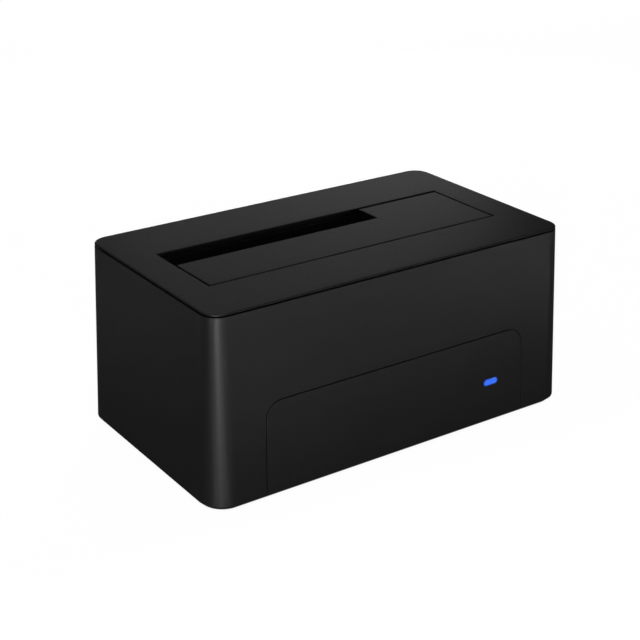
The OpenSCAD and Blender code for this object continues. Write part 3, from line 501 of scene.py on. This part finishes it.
def modifier_group(name):
    """Empty node group for a modifier, and the socket with the mesh that comes in."""
    group = bpy.data.node_groups.new(name, "GeometryNodeTree")
    for way in ("INPUT", "OUTPUT"):
        group.interface.new_socket("Geometry", in_out=way, socket_type="NodeSocketGeometry")
    return group, add(group, "NodeGroupInput").outputs["Geometry"]


def edges_to_round(rounding):
    """Node group that marks the edges to round. They are sharp, keep clear of the hinge, whose small faces
    have no room for it, and lie between wide faces: the length of an edge, times the mean of one over the
    areas of its two faces, is the mean of one over their widths."""
    name = f"edges_to_round_{rounding / MM:.2f}"
    if name in bpy.data.node_groups:
        return bpy.data.node_groups[name]
    group, mesh = modifier_group(name)
    turn = add(group, "GeometryNodeInputMeshEdgeAngle")
    sharp = add(
        group, "FunctionNodeCompare", {0: turn.outputs["Unsigned Angle"], 1: SHARP},
        data_type="FLOAT", operation="GREATER_THAN",
    )
    area = add(group, "GeometryNodeInputMeshFaceArea")
    inverse = add(group, "ShaderNodeMath", {0: 1.0, 1: area.outputs["Area"]}, operation="DIVIDE")
    by_face = add(
        group, "GeometryNodeFieldOnDomain", {"Value": inverse.outputs["Value"]},
        domain="FACE", data_type="FLOAT",
    )
    ends = add(group, "GeometryNodeInputMeshEdgeVertices")
    length = add(
        group, "ShaderNodeVectorMath", {0: ends.outputs["Position 1"], 1: ends.outputs["Position 2"]},
        operation="DISTANCE",
    )
    narrow = add(
        group, "ShaderNodeMath", {0: length.outputs["Value"], 1: by_face.outputs["Value"]},
        operation="MULTIPLY",
    )
    wide = add(
        group, "FunctionNodeCompare", {0: narrow.outputs["Value"], 1: 1 / (2 * WIDE * rounding)},
        data_type="FLOAT", operation="LESS_THAN",
    )
    place = add(group, "GeometryNodeInputPosition")
    side_on = add(
        group, "ShaderNodeVectorMath", {0: place.outputs["Position"], 1: (0.0, 1.0, 1.0)},
        operation="MULTIPLY",
    )
    gap = add(
        group, "ShaderNodeVectorMath", {0: side_on.outputs["Vector"], 1: (0.0, *HINGE["pos_m"][1:])},
        operation="DISTANCE",
    )
    clear = add(
        group, "FunctionNodeCompare", {0: gap.outputs["Value"], 1: HINGE_ROOM},
        data_type="FLOAT", operation="GREATER_THAN",
    )
    roomy = add(
        group, "FunctionNodeBooleanMath", {0: wide.outputs["Result"], 1: clear.outputs["Result"]},
        operation="AND",
    )
    chosen = add(
        group, "FunctionNodeBooleanMath", {0: sharp.outputs["Result"], 1: roomy.outputs["Boolean"]},
        operation="AND",
    )
    marked = add(
        group, "GeometryNodeStoreNamedAttribute",
        {"Geometry": mesh, "Name": "bevel_weight_edge", "Value": chosen.outputs["Boolean"]},
        data_type="FLOAT", domain="EDGE",
    )
    add(group, "NodeGroupOutput", {"Geometry": marked.outputs["Geometry"]})
    return group


def edge_group(name, crease):
    """Node group for a modifier: drops the imported normals, merges points that meet, and shades smooth all
    but the edges that turn by more than the crease, in degrees."""
    if name in bpy.data.node_groups:
        return bpy.data.node_groups[name]
    group, mesh = modifier_group(name)
    bare = add(group, "GeometryNodeRemoveAttribute", {"Geometry": mesh, "Name": "custom_normal"})
    joined = add(
        group, "GeometryNodeMergeByDistance", {"Geometry": bare.outputs["Geometry"], "Distance": JOIN}
    )
    turn = add(group, "GeometryNodeInputMeshEdgeAngle")
    sharp = add(
        group, "FunctionNodeCompare", {0: turn.outputs["Unsigned Angle"], 1: math.radians(crease)},
        data_type="FLOAT", operation="GREATER_THAN",
    )
    smooth = add(
        group, "GeometryNodeSetShadeSmooth", {"Geometry": joined.outputs["Geometry"], "Shade Smooth": True},
        domain="FACE",
    )
    crisp = add(
        group, "GeometryNodeSetShadeSmooth",
        {"Geometry": smooth.outputs["Geometry"], "Selection": sharp.outputs["Result"], "Shade Smooth": False},
        domain="EDGE",
    )
    add(group, "NodeGroupOutput", {"Geometry": crisp.outputs["Geometry"]})
    return group


def dress(name, material, rounding):
    """Gives a CAD node its finish, and rounds its edges with modifiers, which leave its mesh as it is."""
    node = frame["nodes"][name]
    node.data.materials.clear()
    node.data.materials.append(material)
    joined = node.modifiers.new("joined", "NODES")
    joined.node_group = edge_group("joined_faces", SOLID_CREASE)
    flat = node.modifiers.new("flat faces", "DECIMATE")
    flat.decimate_type = "DISSOLVE"
    flat.angle_limit = FLAT
    marked = node.modifiers.new("edges to round", "NODES")
    marked.node_group = edges_to_round(rounding)
    soft = node.modifiers.new("soft edges", "BEVEL")
    soft.width = rounding
    soft.segments = 2
    soft.limit_method = "WEIGHT"
    soft.use_clamp_overlap = False
    shaded = node.modifiers.new("shaded", "NODES")
    shaded.node_group = edge_group("shaded_by_angle", CREASE)
    # The large faces set the normals, so that they shade as the planes they are
    level = node.modifiers.new("level faces", "WEIGHTED_NORMAL")
    level.weight = 90
    level.keep_sharp = True


class DOCK_OT_housing(bpy.types.Operator):
    """Dress the housing, its cover, flap and front panel, and the guide and base inside them"""

    bl_idname = "dock.housing"
    bl_label = "Housing"

    def execute(self, context):
        looks = context.scene.dock_finishes
        for name in ("top_cover", "drive_flap"):
            dress(name, finish(spark_textured_abs), looks.flap_edge)
        for name in ("housing_shell", "front_panel"):
            dress(name, finish(spark_textured_abs), looks.edge)
        for name in ("drive_guide", "base_plate"):
            dress(name, finish(plain_black_abs), looks.edge)
        return {"FINISHED"}


class DOCK_OT_feet(bpy.types.Operator):
    """Build the four rubber feet with ringed treads"""

    bl_idname = "dock.feet"
    bl_label = "Feet"

    def execute(self, context):
        tread = context.scene.dock_small_parts.tread
        rounding, groove, rows = 0.4 * MM, 0.12 * MM, 60
        for name in FEET:
            low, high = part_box(name)
            radius = (high.x - low.x) / 2
            # The tread rises and falls with the cosine of the radius, and its rings touch the table
            r = np.linspace(0.0, radius - 2 * rounding, rows)
            rise = groove * (0.5 - 0.5 * np.cos(2 * np.pi * r / tread))
            height = high.z - low.z
            wall = rounded_line([[r[-1], 0.0], [radius, 0.0], [radius, height], [0.0, height]], rounding)
            profile = np.concatenate([np.stack([r, rise], -1), wall[1:]])
            centre = ((low.x + high.x) / 2, (low.y + high.y) / 2, low.z)
            form = turned(profile, centre, (0, 0, 1))
            piece(name + "_tread", [form], finish(foot_rubber), "dock", [name])
        return {"FINISHED"}


def flap_spring_path(parts):
    """Middle of the spring's wire: a leg up the guide's front wall, a helix over the top of the hinge axis
    and back under the flap, as circle points that move along X in step with their angle, and a bent leg.
    Also gives the two ends of the helix along X."""
    low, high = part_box("flap_spring")
    _, hinge_y, hinge_z = HINGE["pos_m"]
    half, radius = parts.wire / 2, parts.coil / 2
    clearance, bend_radius = 0.15 * MM, 0.5 * MM
    turn_points, leg_points = 40, 12
    lead_out = math.radians(30)
    start, end = math.pi, lead_out - 2 * math.pi * parts.turns
    angle = np.linspace(start, end, turn_points * parts.turns)
    x = np.linspace(low.x + half, high.x - half, len(angle))
    helix = np.stack([x, hinge_y + radius * np.cos(angle), hinge_z + radius * np.sin(angle)], -1)
    leg_z = hinge_z - clearance
    foot = np.array([x[0], low.y + half, low.z])
    bend = np.array([x[-1], hinge_y + radius + half + clearance, leg_z])
    tip = np.array([x[-1], high.y, leg_z])
    leg = np.linspace(foot, helix[0], leg_points)
    out = rounded_line([helix[-1], bend, tip], bend_radius)
    return np.concatenate([leg[:-1], helix, out[1:]]), x[0], x[-1]


class DOCK_OT_spring(bpy.types.Operator):
    """Build the flap's torsion spring and the hinge pin it sits on. The spring keeps one shape here, though
    on the dock it winds up as the flap opens
    """

    bl_idname = "dock.spring"
    bl_label = "Spring and pin"

    def execute(self, context):
        parts = context.scene.dock_small_parts
        path, first, last = flap_spring_path(parts)
        sides = 12
        wire = carried(circle(sides) * parts.wire / 2, path, (1, 0, 0))
        spring = piece("torsion_spring", [wire], finish(zinc_steel), None, ["flap_spring"])
        _, y, z = HINGE["pos_m"]
        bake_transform(spring)
        low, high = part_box("hinge_pin")
        radius, length, rounding = (high.z - low.z) / 2, high.x - low.x, 0.25 * MM
        profile = rounded_line([[0.0, 0.0], [radius, 0.0], [radius, length], [0.0, length]], rounding)
        pin = turned(profile, (low.x, y, z), (1, 0, 0), columns=32)
        piece("ground_pin", [pin], finish(zinc_steel), "dock", ["hinge_pin"])
        return {"FINISHED"}


def screw_form(place, seat, up, reach, shank, parts):
    """Pan-head screw. Head: a dome of the third power, (1 - r^3)^(1/3), with a cross sunk into it. Shank: a
    cylinder whose radius falls by a triangle wave of height less angle, the thread, and then to a point."""
    columns, head_rows, shank_rows = 96, 30, 70
    ring = circle(columns)
    head = parts.head / 2
    arm, bar, soft = 0.56 * head, 0.16 * head, 0.12 * MM
    thread_depth, point = 0.12 * shank, 0.3 * shank
    r = np.linspace(0.0, 1.0, head_rows)
    dome = np.cbrt(1 - r**3)[:, None] * parts.head_height
    x, y = r[:, None] * head * ring[None, :, 0], r[:, None] * head * ring[None, :, 1]
    cross = cross_mark(x, y, arm, bar, soft)
    top = np.stack([x, y, -(dome - parts.recess * cross * (1 - 0.5 * r[:, None]))], -1)
    z = np.linspace(0.0, reach, shank_rows)[:, None]
    phase = (z / parts.thread - np.linspace(0.0, 1.0, columns, endpoint=False)[None]) % 1.0
    depth = thread_depth * np.abs(2 * phase - 1)
    taper = np.minimum(1.0, (reach - z) / point)
    radius = (shank / 2 - depth) * taper
    body = np.stack([radius * ring[None, :, 0], radius * ring[None, :, 1], z + 0 * radius], -1)
    # Half a turn about Y puts the head above, where up is -1
    form = np.concatenate([top, body]) * [up, 1, up]
    return form + np.array([place[0], place[1], seat])


class DOCK_OT_screws(bpy.types.Operator):
    """Build the screws of the base plate, the board and the guide"""

    bl_idname = "dock.screws"
    bl_label = "Screws"

    def execute(self, context):
        parts = context.scene.dock_small_parts
        for name, up, shank in SCREWS:
            low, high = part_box(name)
            seat = low.z + parts.head_height if up > 0 else high.z - parts.head_height
            reach = high.z - low.z - parts.head_height
            places = corners(name, parts.head / 2)
            forms = [screw_form(place, seat, up, reach, shank, parts) for place in places]
            piece("threaded_" + name, forms, finish(zinc_steel), "dock", [name])
        return {"FINISHED"}


class DOCK_OT_status(bpy.types.Operator):
    """Build the lit status window and dress the light behind it"""

    bl_idname = "dock.status"
    bl_label = "Status light"

    def execute(self, context):
        low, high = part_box("light_pipe")
        collar, depth, dome_height, inset = 1.0 * MM, 4.0 * MM, 0.12 * MM, 0.05 * MM
        width, height = high.x - low.x - 2 * collar, high.z - low.z - 2 * collar
        middle = np.array([(low.x + high.x) / 2, (low.z + high.z) / 2])
        draft = math.tan(math.radians(WALL_DRAFT))
        columns, rows, apart = 96, 14, 1.2
        # Stadium outline: a circle whose halves are moved apart. Each row of the window is that outline let
        # in, and its halves are full apart a little before the edge
        ring = circle(columns)
        share = np.concatenate([np.linspace(0.0, 1.0, rows), [1.0]])[:, None]
        radius = height / 2 * share
        flat = (width - height) / 2 * np.sign(ring[None, :, 0]) * np.minimum(1.0, share * apart)
        x = middle[0] + radius * ring[None, :, 0] + flat
        z = middle[1] + radius * ring[None, :, 1]
        dome = dome_height * np.sqrt(np.maximum(0.0, 1 - share**2))
        face = low.y + (z - low.z) * draft
        y = face + inset - dome
        y[-1] = face[-1] + depth
        back = np.stack([middle[0] + 0 * x[-1], 0 * x[-1] + y[-1].mean(), middle[1] + 0 * x[-1]], -1)
        window = np.concatenate([np.stack([x, y, z], -1), back[None]])
        lens = piece(
            "status_window", [window], finish(lit_acrylic), "dock", ["light_pipe"]
        )
        # The core falls with the distance from the line between the middles of the two round ends
        points = np.empty(len(lens.data.vertices) * 3, np.float32)
        lens.data.vertices.foreach_get("co", points)
        points = points.reshape(-1, 3)
        reach = np.maximum(np.abs(points[:, 0] - middle[0]) - (width - height) / 2, 0.0)
        core = 1 - np.hypot(reach, points[:, 2] - middle[1]) / (height / 2)
        values = lens.data.attributes.new("core", "FLOAT", "POINT").data
        values.foreach_set("value", core.astype(np.float32))
        dress("status_led", finish(milky_epoxy), 0.1 * MM)
        return {"FINISHED"}


class DOCK_OT_connector(bpy.types.Operator):
    """Build the drive connector's sprung contacts and dress its body"""

    bl_idname = "dock.connector"
    bl_label = "Drive connector"

    def execute(self, context):
        pitch = context.scene.dock_small_parts.pitch
        low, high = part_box("sata_contacts")
        width, thick, blade, bow = 0.7 * MM, 0.22 * MM, 0.25 * MM, 0.3 * MM
        bend_radius, edge = 0.5 * MM, 0.06 * MM
        power, data = 15, 7
        first, last = low.x + width / 2, high.x - width / 2
        places = np.concatenate([first + pitch * np.arange(power), last - pitch * np.arange(data)[::-1]])
        # Side view of a leaf: along its foot from the back, up, and bowed to the front below its tip
        foot, riser = low.z + thick / 2, low.y + bow + blade / 2
        bow_start, bow_top = low.z + 0.59 * (high.z - low.z), low.z + 0.79 * (high.z - low.z)
        line = rounded_line(
            [[high.y, foot], [riser, foot], [riser, bow_start], [riser - bow, bow_top], [riser, high.z]],
            bend_radius,
        )
        ribbon = rounded_box((width / 2, thick / 2), edge, steps=3)
        leaves = [
            carried(ribbon, np.column_stack([np.full(len(line), x), line]), (1, 0, 0)) for x in places
        ]
        piece("sprung_contacts", leaves, finish(gold_flash), "dock", ["sata_contacts"])
        dress("sata_receptacle", finish(glass_filled_nylon), 0.12 * MM)
        return {"FINISHED"}


class DOCK_OT_ports(bpy.types.Operator):
    """Dress the ports on the back and build the power button and the inlet's pin"""

    bl_idname = "dock.ports"
    bl_label = "Ports and button"

    def execute(self, context):
        dress("usb_shell", finish(nickel_steel), 0.08 * MM)
        dress("usb_insulator", finish(blue_pbt), 0.1 * MM)
        dress("usb_contacts", finish(gold_flash), 0.03 * MM)
        dress("dc_jack_body", finish(glass_filled_nylon), 0.15 * MM)
        dress("switch_body", finish(switch_nylon), 0.15 * MM)
        low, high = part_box("dc_jack_pin")
        radius, long, root = (high.x - low.x) / 2, high.y - low.y, 2.0 * MM
        neck, tip = 0.7 * radius, 0.8 * radius
        profile = np.concatenate([
            [[0.0, 0.0], [neck, 0.0], [neck, root], [radius, root]],
            rounded_line([[radius, root], [radius, long], [0.0, long]], tip)[1:],
        ])
        centre = ((low.x + high.x) / 2, low.y, (low.z + high.z) / 2)
        pin = turned(profile, centre, (0, 1, 0), columns=32)
        piece("inlet_pin", [pin], finish(nickel_steel), "dock", ["dc_jack_pin"])
        low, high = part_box("power_button")
        radius, long = (high.x - low.x) / 2, high.y - low.y
        stem, stem_long, rounding = 1.5 * MM, 5.5 * MM, 0.5 * MM
        dish = context.scene.dock_small_parts.dish
        bowl_share, rows = 0.78, 20
        # The face is a shallow bowl, depth times (1 - r squared), inside a rounded rim
        rim = rounded_line(
            [
                [0.0, 0.0], [stem, 0.0], [stem, stem_long], [radius, stem_long], [radius, long],
                [bowl_share * radius, long],
            ],
            rounding,
        )
        r = np.linspace(bowl_share, 0.0, rows)
        bowl = np.stack([r * radius, long - dish * (1 - (r / bowl_share) ** 2)], -1)
        centre = ((low.x + high.x) / 2, low.y, (low.z + high.z) / 2)
        button = turned(np.concatenate([rim, bowl[1:]]), centre, (0, 1, 0))
        piece(
            "dished_button", [button], finish(spark_textured_abs), "button", ["power_button"]
        )
        return {"FINISHED"}


def can_form(place, base, top, radius):
    """Capacitor can: a turned profile with a rolled groove near its foot, and a cross scored into its lid."""
    columns, rows = 96, 24
    ring = circle(columns)
    groove, groove_low, groove_middle, groove_high = 0.3 * MM, 1.0 * MM, 1.5 * MM, 2.0 * MM
    rounding, lid_share = 0.35 * MM, 0.8
    score, score_half, score_soft = 0.12 * MM, 0.12 * MM, 0.1 * MM
    wall = rounded_line(
        [
            [0.0, base], [radius, base], [radius, base + groove_low], [radius - groove, base + groove_middle],
            [radius, base + groove_high], [radius, top], [lid_share * radius, top],
        ],
        rounding,
    )
    side = np.concatenate([wall[:, :1, None] * ring[None], np.repeat(wall[:, 1:, None], columns, 1)], -1)
    r = np.linspace(lid_share, 0.0, rows)[1:, None] * radius
    x, y = r * ring[None, :, 0], r * ring[None, :, 1]
    lid = np.stack([x, y, top - score * cross_mark(x, y, 0.6 * radius, score_half, score_soft)], -1)
    return np.concatenate([side, lid]) + np.array([place[0], place[1], 0.0])


def block_form(low, high, rounding):
    """Block with rounded upright edges: its outline in plan, carried from its foot to its top."""
    low, high = np.asarray(low), np.asarray(high)
    plan = rounded_box((high - low)[:2] / 2, rounding, steps=4)
    middle = (high + low) / 2
    path = np.array([[middle[0], middle[1], z] for z in (low[2], high[2])])
    return carried(plan, path, (1, 0, 0))


class DOCK_OT_board(bpy.types.Operator):
    """Dress the circuit board and its parts, and build its capacitors"""

    bl_idname = "dock.board"
    bl_label = "Circuit board"

    def execute(self, context):
        dress("main_board", finish(solder_mask), 0.05 * MM)
        for name in ("bridge_chip", "regulator_chip"):
            dress(name, finish(mould_epoxy), 0.1 * MM)
        dress("crystal", finish(nickel_steel), 0.15 * MM)
        dress("power_inductors", finish(pressed_ferrite), 0.2 * MM)
        low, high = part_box("filter_capacitors")
        half, foot, rounding = 6.6 * MM / 2, 0.8 * MM, 0.8 * MM
        radius = 6.3 * MM / 2
        y = (low.y + high.y) / 2
        middles = (low.x + half, high.x - half)
        cans = [can_form((x, y), low.z + foot, high.z, radius) for x in middles]
        feet = [
            block_form((x - half, y - half, low.z), (x + half, y + half, low.z + foot), rounding)
            for x in middles
        ]
        piece("drawn_cans", cans, finish(drawn_aluminium), "dock", ["filter_capacitors"])
        piece("can_feet", feet, finish(glass_filled_nylon), "dock")
        return {"FINISHED"}


# Studio

AIM = (0.0, 0.0, 0.03)
# Softboxes: their name, degrees round from the front towards the right, degrees up, distance, size and power.
# The strip in front lights the rounded corner, the three small ones behind show in the top face, the low rear
# one lights the back, and the rest fill the top and the walls, also for the other sides
SOFTBOXES = (
    ("front strip", 320, 0, 1.0, (0.1, 0.05), 9.9),
    ("top softbox", 325, 75, 1.0, (0.45, 0.45), 2.0),
    ("sheen softbox", 147, 7.2, 0.5, (0.09, 0.045), 0.06),
    ("right sheen softbox", 137, 7.2, 0.5, (0.09, 0.045), 0.066),
    ("left sheen softbox", 158, 7.2, 0.5, (0.09, 0.045), 0.051),
    ("low rear strip", 148, 0, 1.0, (0.5, 0.05), 6.0),
    ("far front sheen softbox", 325, 8, 1.0, (0.4, 0.15), 0.3),
    ("far right sheen softbox", 40, 8, 1.0, (0.4, 0.15), 0.83),
    ("upper rear softbox", 165, 52, 1.0, (0.6, 0.6), 0.5),
    ("upper left softbox", 235, 55, 1.0, (0.6, 0.6), 0.5),
)
# Narrow beams from above on the floor that the walls mirror: name, place, side, power and spread in degrees
BEAMS = (
    ("left beam", (-0.2, 0.14), 0.1, 0.19, 18),
    ("front beam", (-0.05, -0.25), 0.15, 1.86, 20),
    ("right beam", (0.19, -0.24), 0.1, 1.98, 16),
)
BEAM_HEIGHT = 0.8


def lamp(name, place, aim, size, power, spread=180.0):
    """Rectangular area lamp at a place, aimed at a point, whose beam spreads by an angle in degrees."""
    data = bpy.data.lights.new(name, "AREA")
    data.shape = "RECTANGLE"
    data.size, data.size_y = size
    data.energy = power
    data.spread = math.radians(spread)
    made = bpy.data.objects.new(name, data)
    bpy.context.scene.collection.objects.link(made)
    made.location = place
    made.rotation_euler = (Vector(place) - Vector(aim)).to_track_quat("Z", "Y").to_euler()


def around(turn, rise, reach):
    """Place at a distance from the aim: turned from the front towards the right, and raised, in degrees."""
    turn, rise = math.radians(turn), math.radians(rise)
    way = Vector((math.sin(turn) * math.cos(rise), -math.cos(turn) * math.cos(rise), math.sin(rise)))
    return Vector(AIM) + reach * way


def white_share(tree, gloss, ambient):
    """Socket with the share of the white room that a ray sees: all of it for the camera and through glass,
    and the given shares for gloss and for matt surfaces."""
    rays = add(tree, "ShaderNodeLightPath").outputs
    seen = add(
        tree, "ShaderNodeMath", {0: rays["Is Camera Ray"], 1: rays["Is Transmission Ray"]},
        operation="MAXIMUM",
    )
    shiny = add(
        tree, "ShaderNodeMath", {0: rays["Is Glossy Ray"], 1: gloss, 2: seen.outputs["Value"]},
        operation="MULTIPLY_ADD",
    )
    matt = add(
        tree, "ShaderNodeMath", {0: rays["Is Diffuse Ray"], 1: ambient, 2: shiny.outputs["Value"]},
        operation="MULTIPLY_ADD",
    )
    return matt.outputs["Value"]


def white_floor(studio):
    """Matt grey floor that the camera sees nearly white by its own light, with a little light and shade on
    top, so that it reads as a white sweep and keeps the object's shadow. Under the housing a painted contact
    shadow keeps it dark: its own white starts at a distance from the housing's plan drawn in by the corner
    radius, and that distance is the length of the vector by which a point lies past the drawn-in plan."""
    made, tree, place, shader = blank("matt_floor")
    own_white, shaded = 0.965, linear("#4f4f4f")
    # dark and lit are the depths inside the housing's outline where the painted shadow under it is full and
    # where it ends
    corner, dark, lit = 8.0 * MM, 1.6 * MM, 1.2 * MM
    rays = add(tree, "ShaderNodeLightPath")
    tone = add(
        tree, "ShaderNodeMix", {0: rays.outputs["Is Camera Ray"], 6: studio.floor, 7: shaded},
        data_type="RGBA",
    )
    _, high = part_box("housing_shell")
    inner = high - Vector((corner, corner, corner))
    half = add(tree, "ShaderNodeVectorMath", {0: place}, operation="ABSOLUTE")
    past = add(tree, "ShaderNodeVectorMath", {0: half.outputs["Vector"], 1: inner}, operation="SUBTRACT")
    out = add(
        tree, "ShaderNodeVectorMath", {0: past.outputs["Vector"], 1: (0.0, 0.0, 0.0)}, operation="MAXIMUM"
    )
    reach = add(tree, "ShaderNodeVectorMath", {0: out.outputs["Vector"]}, operation="LENGTH")
    # Painted shadow: the floor's own white fades out under the housing
    clear = add(
        tree, "ShaderNodeMapRange",
        {0: reach.outputs["Value"], 1: corner - dark, 2: corner - lit, 3: 0.0, 4: own_white},
    )
    glow = add(
        tree, "ShaderNodeMath", {0: white_share(tree, studio.gloss, 0.0), 1: clear.outputs["Result"]},
        operation="MULTIPLY",
    )
    tree.links.new(tone.outputs[2], shader.inputs["Base Color"])
    tree.links.new(glow.outputs["Value"], shader.inputs["Emission Strength"])
    shader.inputs["Emission Color"].default_value = WHITE
    shader.inputs["Roughness"].default_value = 1.0
    shader.inputs["Specular IOR Level"].default_value = 0.0
    made.cycles.emission_sampling = "NONE"
    return made


def white_room(studio):
    """World that the camera sees white, and that lights the object only a little."""
    made = bpy.data.worlds.new("white_room")
    made.use_nodes = True
    tree = made.node_tree
    tree.nodes.clear()
    share = white_share(tree, studio.gloss, studio.ambient)
    room = add(tree, "ShaderNodeBackground", {"Color": WHITE, "Strength": share})
    add(tree, "ShaderNodeOutputWorld", {"Surface": room.outputs["Background"]})
    made.cycles.sampling_method = "NONE"
    return made


class DOCK_OT_stage(bpy.types.Operator):
    """Build the floor, the world, the lamps and the camera"""

    bl_idname = "dock.stage"
    bl_label = "Studio"

    def execute(self, context):
        scene = context.scene
        studio = scene.dock_studio
        half_side, drop = 4.0, 0.05 * MM
        mesh = bpy.data.meshes.new("floor")
        square = np.array([[-1, -1], [1, -1], [1, 1], [-1, 1]]) * half_side
        mesh.from_pydata(np.column_stack([square, np.full(4, -drop)]).tolist(), [], [(0, 1, 2, 3)])
        mesh.materials.append(white_floor(studio))
        floor = bpy.data.objects.new("floor", mesh)
        scene.collection.objects.link(floor)
        scene.world = white_room(studio)
        for name, turn, rise, reach, size, power in SOFTBOXES:
            lamp(name, around(turn, rise, reach), AIM, size, power)
        for name, place, side, power, spread in BEAMS:
            lamp(name, (*place, BEAM_HEIGHT), (*place, 0.0), (side, side), power, spread)
        eye = bpy.data.cameras.new("camera")
        eye.lens = studio.lens
        eye.sensor_width = 36.0
        eye.clip_start, eye.clip_end = 0.01, 20.0
        camera = bpy.data.objects.new("camera", eye)
        camera.location = studio.camera
        camera.rotation_euler = studio.turn
        scene.collection.objects.link(camera)
        scene.camera = camera
        scene.view_settings.view_transform = "Standard"
        return {"FINISHED"}


OPERATORS = (
    DOCK_OT_housing, DOCK_OT_feet, DOCK_OT_spring, DOCK_OT_screws, DOCK_OT_status, DOCK_OT_connector,
    DOCK_OT_ports, DOCK_OT_board, DOCK_OT_stage,
)
SETTINGS = {"dock_finishes": DockFinishes, "dock_small_parts": DockSmallParts, "dock_studio": DockStudio}


class DOCK_PT_looks(bpy.types.Panel):
    """Lists the operators and the settings they read"""

    bl_idname = "DOCK_PT_looks"
    bl_label = "Drive Dock"
    bl_space_type = "VIEW_3D"
    bl_region_type = "UI"
    bl_category = "Drive Dock"

    def draw(self, context):
        for operator in OPERATORS:
            self.layout.operator(operator.bl_idname)
        for name, group in SETTINGS.items():
            box = self.layout.box()
            for setting in group.__annotations__:
                box.prop(getattr(context.scene, name), setting)


CLASSES = (*SETTINGS.values(), *OPERATORS, DOCK_PT_looks)


def register():
    for cls in CLASSES:
        bpy.utils.register_class(cls)
    for name, group in SETTINGS.items():
        setattr(bpy.types.Scene, name, PointerProperty(type=group))


def unregister():
    for name in SETTINGS:
        delattr(bpy.types.Scene, name)
    for cls in reversed(CLASSES):
        bpy.utils.unregister_class(cls)


def main():
    """Builds the looks in order."""
    register()
    for operator in OPERATORS:
        group, name = operator.bl_idname.split(".")
        getattr(getattr(bpy.ops, group), name)()


if __name__ == "__main__":
    main()
